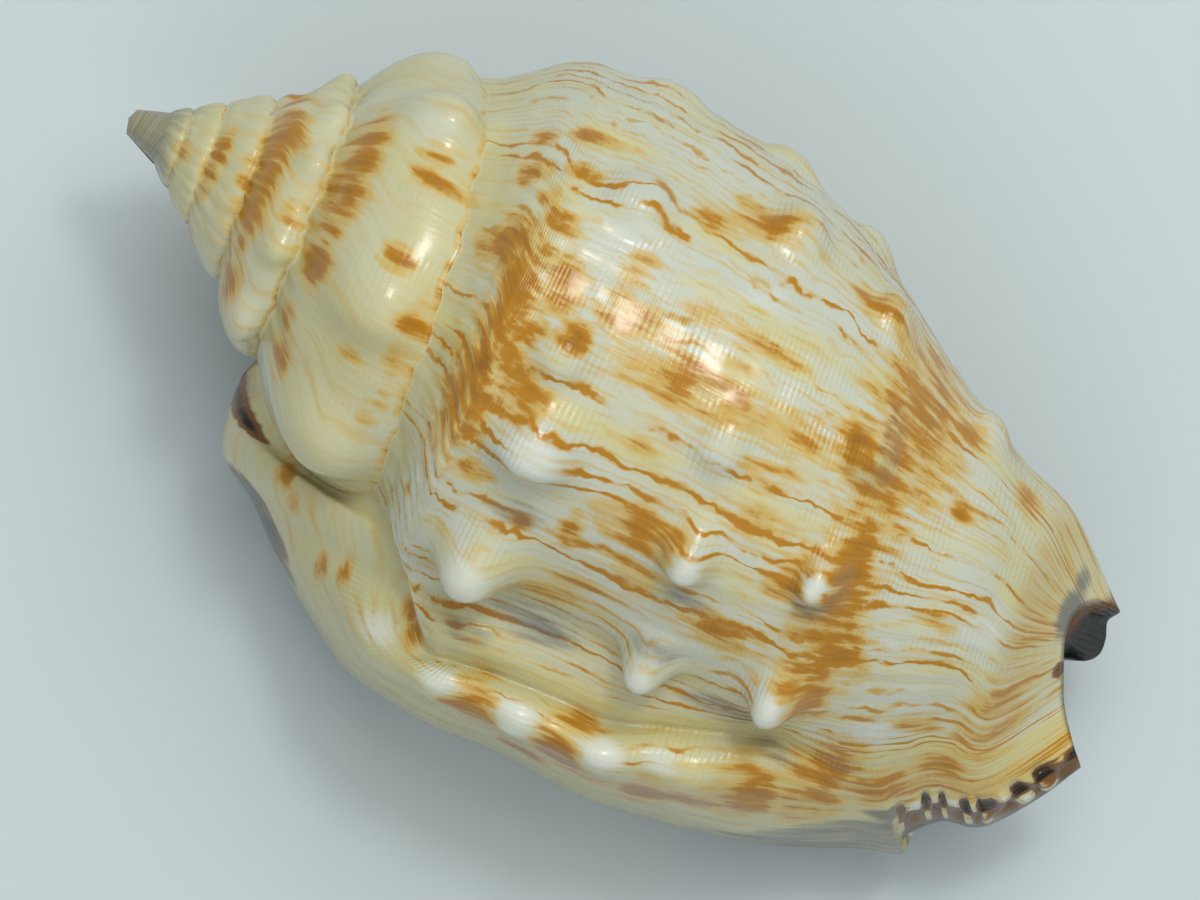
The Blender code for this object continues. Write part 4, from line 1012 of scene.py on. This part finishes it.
# mesh from whole arrays, with the growth map and the marks on its corners and its faces turned outwards
def shellObject(material):
    points, values, faces, corners = shellSkin()
    used, inverse = np.unique(faces, return_inverse=True)
    mesh = bpy.data.meshes.new("shellSkin")
    mesh.from_pydata(points[used] * metresPerMm, [], inverse.reshape(faces.shape))
    growthMap = mesh.uv_layers.new(name="growth")
    growthMap.data.foreach_set("uv", values[corners.ravel(), :2].astype(np.float32).ravel())
    # grey channel: worn grey, painted shade below the knobs and in the lip groove, and the grey flange
    greyed = np.maximum(spotted(points + np.array(shell["origin"]), marked["grey"]), flangeGrey(values))
    zones = np.concatenate([values[:, 2:5], greyed[:, None]], 1)
    for name, rows in (("zone", zones), ("marks", shellMarks(points, values))):
        attribute = mesh.attributes.new(name, "FLOAT_COLOR", "CORNER")
        attribute.data.foreach_set("color", rows[corners.ravel()].astype(np.float32).ravel())
    work = bmesh.new()
    work.from_mesh(mesh)
    bmesh.ops.recalc_face_normals(work, faces=work.faces)
    work.to_mesh(mesh)
    work.free()
    mesh.shade_smooth()
    mesh.materials.append(material)
    piece = bpy.data.objects.new("shellSkin", mesh)
    bpy.context.scene.collection.objects.link(piece)
    return piece


# what the shell's finish is made of: colours, sizes in millimetres, then amounts as shares
finish = {
    "white": (0.52, 0.55, 0.46, 1.0),
    "cream": (0.52, 0.49, 0.25, 1.0),
    "knobWhite": (0.62, 0.65, 0.56, 1.0),
    "orange": (0.42, 0.185, 0.007, 1.0),
    "paleOrange": (0.56, 0.38, 0.09, 1.0),
    "paleYellow": (0.58, 0.52, 0.2, 1.0),
    "brown": (0.17, 0.07, 0.01, 1.0),
    "black": (0.004, 0.003, 0.003, 1.0),
    "grey": (0.12, 0.118, 0.11, 1.0),
    "purple": (0.085, 0.032, 0.03, 1.0),
    "callus": (0.70, 0.66, 0.54, 1.0),
    "lineSpacing": 1.15,
    "faintSpacing": 0.5,
    "threadSpacing": 0.36,
    "threadHeight": 0.011,
    "threadSway": 2.0,
    "threadLeast": 0.2,       # share of the threads' height that is left by the suture
    "growthHeight": 0.03,
    "cloudiness": 1.3,
    "streakiness": 2.6,
    "blotchiness": 1.3,
    "lineSway": 3.0,
    "lineShiver": 0.95,
    "lineWidth": (0.06, 0.42, 0.2),  # least, more where thick, more where orange; half spacings
    "ownShare": 0.35,
    "breakShare": 1.6,
    "spireLines": 0.45,       # strength of the lines on the spire, on cream and on knob tops
    "creamLines": 0.5,
    "knobLines": 0.15,
    "roughness": (0.16, 0.2),  # least, and how much the clouds add
    "blackGloss": 0.3,        # black's roughness, as a share of what it would be
    "coat": 0.25,
    "coatRoughness": 0.12,
}

# noises over the growth map: (scale along growth, scale along the spiral, detail, roughness)
noises = {
    "clouds": (0.22, 0.16, 3.0, 0.5),
    "streaks": (1.6, 0.24, 4.0, 0.6),
    "blotch": (0.5, 0.45, 3.0, 0.5),
    "slow": (0.16, 0.12, 2.0, 0.5),
    "fast": (0.5, 0.7, 2.0, 0.5),
    "yellow": (0.42, 0.1, 4.0, 0.6),
    "rim": (0.35, 0.8, 3.0, 0.6),
    "patches": (0.5, 0.2, 2.0, 0.5),
    "fine": (4.0, 0.5, 3.0, 0.5),
    "thick": (0.8, 0.4, 3.0, 0.6),
    "breaks": (0.7, 0.3, 3.0, 0.6),
}

# how much of what lies below each layer hides where it is full
covers = {
    "pale": 0.9, "yellow": 0.6, "faint": 0.6, "wash": 0.85, "darker": 0.45, "rim": 0.5, "ridge": 0.5,
    "worn": 0.85,
}

# how far noise shifts the edge of each layer
ragged = {"pale": 1.1, "depth": 0.15, "worn": 0.9, "spot": 0.7}

# values between which each smooth step goes from 0 to 1
limits = {
    "inside": (0.0, 0.1), "innerColour": (0.02, 0.1), "throat": (0.16, 0.3),
    "cream": (0.0, 1.0), "pale": (0.25, 0.95), "creamLines": (0.6, 0.9), "yellow": (0.47, 0.64),
    "wash": (0.0, 0.5), "washMark": (0.01, 0.25),
    "solid": (0.42, 0.85), "solidMark": (0.05, 0.35), "darker": (0.75, 1.45),
    "lineKept": (0.78, 1.2), "lineThick": (0.3, 0.75), "lineOrange": (0.0, 0.7),
    "lineEdge": (0.15, 1.1), "lineCore": (0.35, 0.95), "lineOwn": (0.1, 0.7),
    "rim": (0.5, 1.0), "rimDark": (0.45, 0.65), "ridge": (0.0, 0.8), "lipSide": (0.2, 0.8),
    "worn": (0.2, 0.75), "wornMark": (0.05, 0.3),
    "brown": (0.3, 0.6), "brownMark": (0.1, 0.3), "black": (0.75, 1.05), "blackMark": (0.4, 0.7),
    "threads": (0.4, 0.65), "threadRows": (2.0, 9.0),
}


# node tree written as short calls: each makes a node, sets its inputs and returns its first output
class Nodes:
    def __init__(self, material):
        self.tree = material.node_tree
        self.place = 0

    def make(self, kind, settings, inputs, output=0):
        node = self.tree.nodes.new(kind)
        self.place += 1
        node.location = (-220 * (1 + self.place % 12), -180 * (self.place // 12))
        for name, value in settings.items():
            setattr(node, name, value)
        for name, value in inputs.items():
            socket = node.inputs[name]
            if isinstance(value, bpy.types.NodeSocket):
                self.tree.links.new(value, socket)
            else:
                socket.default_value = value
        return node.outputs[output]

    # the parts of a map or a colour
    def parts(self, kind, name, value):
        return self.make("ShaderNodeSeparate" + kind, {}, {name: value}).node.outputs

    def math(self, operation, first, second=0.0):
        return self.make("ShaderNodeMath", {"operation": operation}, {0: first, 1: second})

    def plus(self, first, second):
        return self.math("ADD", first, second)

    def times(self, first, second):
        return self.math("MULTIPLY", first, second)

    # 1 minus the value, or minus a share of it
    def without(self, value, share=None):
        return self.math("SUBTRACT", 1.0, value if share is None else self.times(value, share))

    # noise about 0: half is taken off, and the rest is scaled
    def about(self, noise, amount):
        return self.times(self.math("SUBTRACT", noise, 0.5), amount)

    # value between two named limits as a smooth share of 0 to 1
    def step(self, value, name):
        low, high = limits[name]
        return self.make("ShaderNodeMapRange", {"interpolation_type": "SMOOTHSTEP"},
                         {"Value": value, "From Min": low, "From Max": high})

    def mix(self, share, first, second):
        return self.make("ShaderNodeMix", {"data_type": "RGBA"}, {0: share, 6: first, 7: second}, 2)

    # named noise over a map, stretched by its own scales, and along growth by a spacing too
    def noise(self, vector, name, spacing=1.0):
        along, across, detail, rough = noises[name]
        scale = (along / spacing, across, 1.0)
        moved = self.make("ShaderNodeMapping", {}, {"Vector": vector, "Scale": scale})
        return self.make("ShaderNodeTexNoise", {},
                         {"Vector": moved, "Scale": 1.0, "Detail": detail, "Roughness": rough})


# lines: 1 near each whole number of shaken growth over spacing; each has its own strength and breaks
def growthLines(nodes, growthMap, growth, shake, spacing, orangeMark, lined):
    shaken = nodes.plus(nodes.math("DIVIDE", growth, spacing), shake)
    toLine = nodes.math("PINGPONG", shaken, 0.5)
    number = nodes.math("ROUND", shaken)
    own = nodes.make("ShaderNodeTexWhiteNoise", {"noise_dimensions": "1D"}, {"W": number})
    breaks = nodes.noise(growthMap, "breaks", spacing)
    strength = nodes.step(nodes.plus(nodes.times(own, finish["ownShare"]),
                                  nodes.times(breaks, finish["breakShare"])), "lineKept")
    least, whereThick, whereOrange = finish["lineWidth"]
    thick = nodes.step(nodes.noise(growthMap, "thick"), "lineThick")
    width = nodes.plus(nodes.times(thick, whereThick), least)
    width = nodes.plus(width, nodes.times(nodes.step(orangeMark, "lineOrange"), whereOrange))
    line = nodes.without(nodes.step(nodes.math("DIVIDE", toLine, width), "lineEdge"))
    return nodes.times(nodes.times(line, strength), lined), own


# finish: cream and white ground, wavy orange growth lines, orange bands, dark edges, threads in gloss
def shellFinish():
    material = bpy.data.materials.new("shellFinish")
    material.use_nodes = True
    nodes = Nodes(material)
    principled = material.node_tree.nodes["Principled BSDF"]
    growthMap = nodes.make("ShaderNodeUVMap", {"uv_map": "growth"}, {})
    growth, spiral = nodes.parts("XYZ", "Vector", growthMap)[:2]
    zone = nodes.make("ShaderNodeAttribute", {"attribute_name": "zone"}, {})
    deep, rim, side = nodes.parts("Color", "Color", zone)
    greyMark = zone.node.outputs[3]
    marks = nodes.make("ShaderNodeAttribute", {"attribute_name": "marks"}, {})
    orangeMark, darkMark, creamMark = nodes.parts("Color", "Color", marks)
    callus = marks.node.outputs[3]
    outside = nodes.without(nodes.step(deep, "inside"))

    # ground: cream in soft clouds over a cool white, and whiter knob tops with ragged edges
    streaks = nodes.noise(growthMap, "streaks")
    clouds = nodes.noise(growthMap, "clouds")
    pale = nodes.step(nodes.math("SUBTRACT", nodes.about(streaks, ragged["pale"]), darkMark), "pale")
    creamShare = nodes.plus(creamMark, nodes.about(clouds, finish["cloudiness"]))
    ground = nodes.mix(nodes.step(creamShare, "cream"), finish["white"], finish["cream"])
    ground = nodes.mix(nodes.times(pale, covers["pale"]), ground, finish["knobWhite"])

    # streaks run along the growth lines, and break up every orange patch
    blotch = nodes.noise(growthMap, "blotch")
    streaky = nodes.about(streaks, finish["streakiness"])
    washed = nodes.plus(orangeMark, nodes.plus(streaky, nodes.about(blotch, finish["blotchiness"])))
    wash = nodes.times(nodes.step(washed, "wash"), nodes.step(orangeMark, "washMark"))
    solid = nodes.times(nodes.step(washed, "solid"), nodes.step(orangeMark, "solidMark"))

    # thin wavy lines, weaker on the spire, on cream and on knob tops, and none inside or on the callus
    fast = nodes.noise(growthMap, "fast")
    slow = nodes.noise(growthMap, "slow")
    shake = nodes.plus(nodes.times(slow, finish["lineSway"]), nodes.times(fast, finish["lineShiver"]))
    lined = nodes.times(nodes.without(callus), outside)
    creamy = nodes.step(creamMark, "creamLines")
    onSpire = nodes.times(side, outside)
    for place, name in ((onSpire, "spireLines"), (pale, "knobLines"), (creamy, "creamLines")):
        lined = nodes.times(lined, nodes.without(place, 1 - finish[name]))
    lines, own = growthLines(nodes, growthMap, growth, shake, finish["lineSpacing"], orangeMark, lined)
    faint = growthLines(nodes, growthMap, growth, shake, finish["faintSpacing"], orangeMark, lined)[0]
    yellow = nodes.step(nodes.noise(growthMap, "yellow"), "yellow")
    core = nodes.times(nodes.step(lines, "lineCore"), nodes.step(own, "lineOwn"))

    # edge of the lip: grey by stretches along the rim
    rimDark = nodes.times(nodes.step(rim, "rim"), nodes.step(nodes.noise(growthMap, "rim"), "rimDark"))

    # inside: callus at the rim, then purple brown between pale lirae
    ridge = nodes.math("SINE", nodes.times(spiral, 2 * math.pi / shell["liraeSpacing"]))
    paleRidge = nodes.times(nodes.step(ridge, "ridge"), nodes.step(side, "lipSide"))
    throat = nodes.mix(nodes.times(paleRidge, covers["ridge"]), finish["purple"], finish["callus"])
    depthShare = nodes.step(nodes.plus(deep, nodes.about(blotch, ragged["depth"])), "throat")
    inner = nodes.mix(depthShare, finish["callus"], throat)

    # grey wear and painted shade below the knobs, then dark spots that are brown at their edges and black
    # in the middle
    worn = nodes.step(nodes.plus(greyMark, nodes.about(streaks, ragged["worn"])), "worn")
    worn = nodes.times(worn, nodes.step(greyMark, "wornMark"))
    spot = nodes.plus(darkMark, nodes.about(streaks, ragged["spot"]))
    browned = nodes.times(nodes.step(spot, "brown"), nodes.step(darkMark, "brownMark"))
    blackened = nodes.times(nodes.step(spot, "black"), nodes.step(darkMark, "blackMark"))

    # each layer covers the ones before it by its own share
    colour = ground
    for share, layer in (
            (nodes.times(yellow, nodes.times(lined, covers["yellow"])), finish["paleYellow"]),
            (nodes.times(faint, covers["faint"]), finish["paleOrange"]),
            (nodes.times(wash, covers["wash"]), finish["paleOrange"]),
            (lines, finish["paleOrange"]),
            (core, finish["orange"]),
            (solid, finish["orange"]),
            (nodes.times(nodes.step(washed, "darker"), covers["darker"]), finish["brown"]),
            (nodes.times(rimDark, covers["rim"]), finish["grey"]),
            (nodes.step(deep, "innerColour"), inner),
            (callus, finish["callus"]),
            # grey: worn grey and painted shade below the knobs
            (nodes.times(worn, covers["worn"]), finish["grey"]),
            (browned, finish["brown"]),
            (blackened, finish["black"])):
        colour = nodes.mix(share, colour, layer)

    # bump in metres: spiral threads in patches, weaker by the suture, and fine growth lines
    threadAt = nodes.times(spiral, 2 * math.pi / finish["threadSpacing"])
    thread = nodes.math("SINE", nodes.plus(threadAt, nodes.times(fast, finish["threadSway"])))
    patches = nodes.step(nodes.noise(growthMap, "patches"), "threads")
    clear = nodes.plus(finish["threadLeast"], nodes.step(spiral, "threadRows"))
    threadStrength = nodes.times(nodes.times(patches, finish["threadHeight"]), clear)
    fine = nodes.times(nodes.noise(growthMap, "fine"), finish["growthHeight"])
    height = nodes.plus(nodes.times(thread, threadStrength), fine)
    height = nodes.times(height, nodes.times(outside, nodes.without(callus)))
    strength = {"Strength": 1.0, "Distance": metresPerMm, "Height": height}
    bump = nodes.make("ShaderNodeBump", {}, strength)
    least, cloudy = finish["roughness"]
    gloss = nodes.plus(least, nodes.times(clouds, cloudy))
    gloss = nodes.times(gloss, nodes.without(blackened, 1 - finish["blackGloss"]))
    for output, name in ((colour, "Base Color"), (bump, "Normal"), (gloss, "Roughness")):
        material.node_tree.links.new(output, principled.inputs[name])
    principled.inputs["Coat Weight"].default_value = finish["coat"]
    principled.inputs["Coat Roughness"].default_value = finish["coatRoughness"]
    return material


piece = shellObject(shellFinish())
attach(piece, "root")
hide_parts("shell")
print("shell skin made,", len(piece.data.polygons), "triangles")

# studio: a pale floor and soft light from the picture's top
studio = {
    "floorHalf": 0.6,
    "floorColour": (0.53, 0.595, 0.60, 1.0),
    "keyPlace": (0.01, 0.25, 0.45),
    "keySize": 0.36,
    "keyPower": 1.52,
    "glintPlace": (0.03, 0.2, 0.45),
    "glintSize": 0.07,
    "glintPower": 0.4,
    "fillPlace": (0.1, -0.3, 0.4),
    "fillSize": 0.5,
    "fillPower": 0.7,
    "floorRoughness": 0.9,
    "lookAt": (0, 0, 0.01),
    "skyColour": (0.85, 0.9, 0.95, 1.0),
    "skyStrength": 0.4,
}


# flat square floor at Z = 0
def makeFloor():
    half = studio["floorHalf"]
    mesh = bpy.data.meshes.new("floor")
    corners = [(-half, -half, 0), (half, -half, 0), (half, half, 0), (-half, half, 0)]
    mesh.from_pydata(corners, [], [(0, 1, 2, 3)])
    material = bpy.data.materials.new("paleFloor")
    material.use_nodes = True
    principled = material.node_tree.nodes["Principled BSDF"]
    principled.inputs["Base Color"].default_value = studio["floorColour"]
    principled.inputs["Roughness"].default_value = studio["floorRoughness"]
    mesh.materials.append(material)
    floor = bpy.data.objects.new("floor", mesh)
    bpy.context.scene.collection.objects.link(floor)


# square soft light that faces the shell; a glossy one also shows as a highlight
def makeLight(name, place, size, power, glossy):
    data = bpy.data.lights.new(name, "AREA")
    data.size = size
    data.energy = power
    light = bpy.data.objects.new(name, data)
    light.location = place
    towards = Vector(studio["lookAt"]) - Vector(place)
    light.rotation_euler = towards.to_track_quat("-Z", "Y").to_euler()
    light.visible_glossy = glossy
    bpy.context.scene.collection.objects.link(light)


makeFloor()
for name, glossy in (("key", False), ("glint", True), ("fill", False)):
    place, size, power = studio[name + "Place"], studio[name + "Size"], studio[name + "Power"]
    makeLight(name + "Light", place, size, power, glossy)
world = bpy.data.worlds.new("softSky")
world.use_nodes = True
world.node_tree.nodes["Background"].inputs["Color"].default_value = studio["skyColour"]
world.node_tree.nodes["Background"].inputs["Strength"].default_value = studio["skyStrength"]
bpy.context.scene.world = world
bpy.context.scene.view_settings.view_transform = "Standard"
print("studio made")

# camera: straight down, turned so that the apex points up and to the left
camera = {
    "turn": 26.17,            # degrees between the picture's width and the coiling axis
    "target": (-0.0001, -0.0009, 0.011),
    "distance": 0.7,
    "fieldWidth": 0.06,
    "sensor": 36.0,
}
turned = math.radians(camera["turn"])
right = Vector((math.cos(turned), math.sin(turned), 0))
upward = Vector((-math.sin(turned), math.cos(turned), 0))
back = right.cross(upward)
data = bpy.data.cameras.new("camera")
data.sensor_width = camera["sensor"]
data.lens = camera["sensor"] * camera["distance"] / camera["fieldWidth"]
cameraObject = bpy.data.objects.new("camera", data)
facing = Matrix((right, upward, back)).transposed().to_4x4()
place = Vector(camera["target"]) + back * camera["distance"]
cameraObject.matrix_world = Matrix.Translation(place) @ facing
bpy.context.scene.collection.objects.link(cameraObject)
bpy.context.scene.camera = cameraObject
print("camera set")
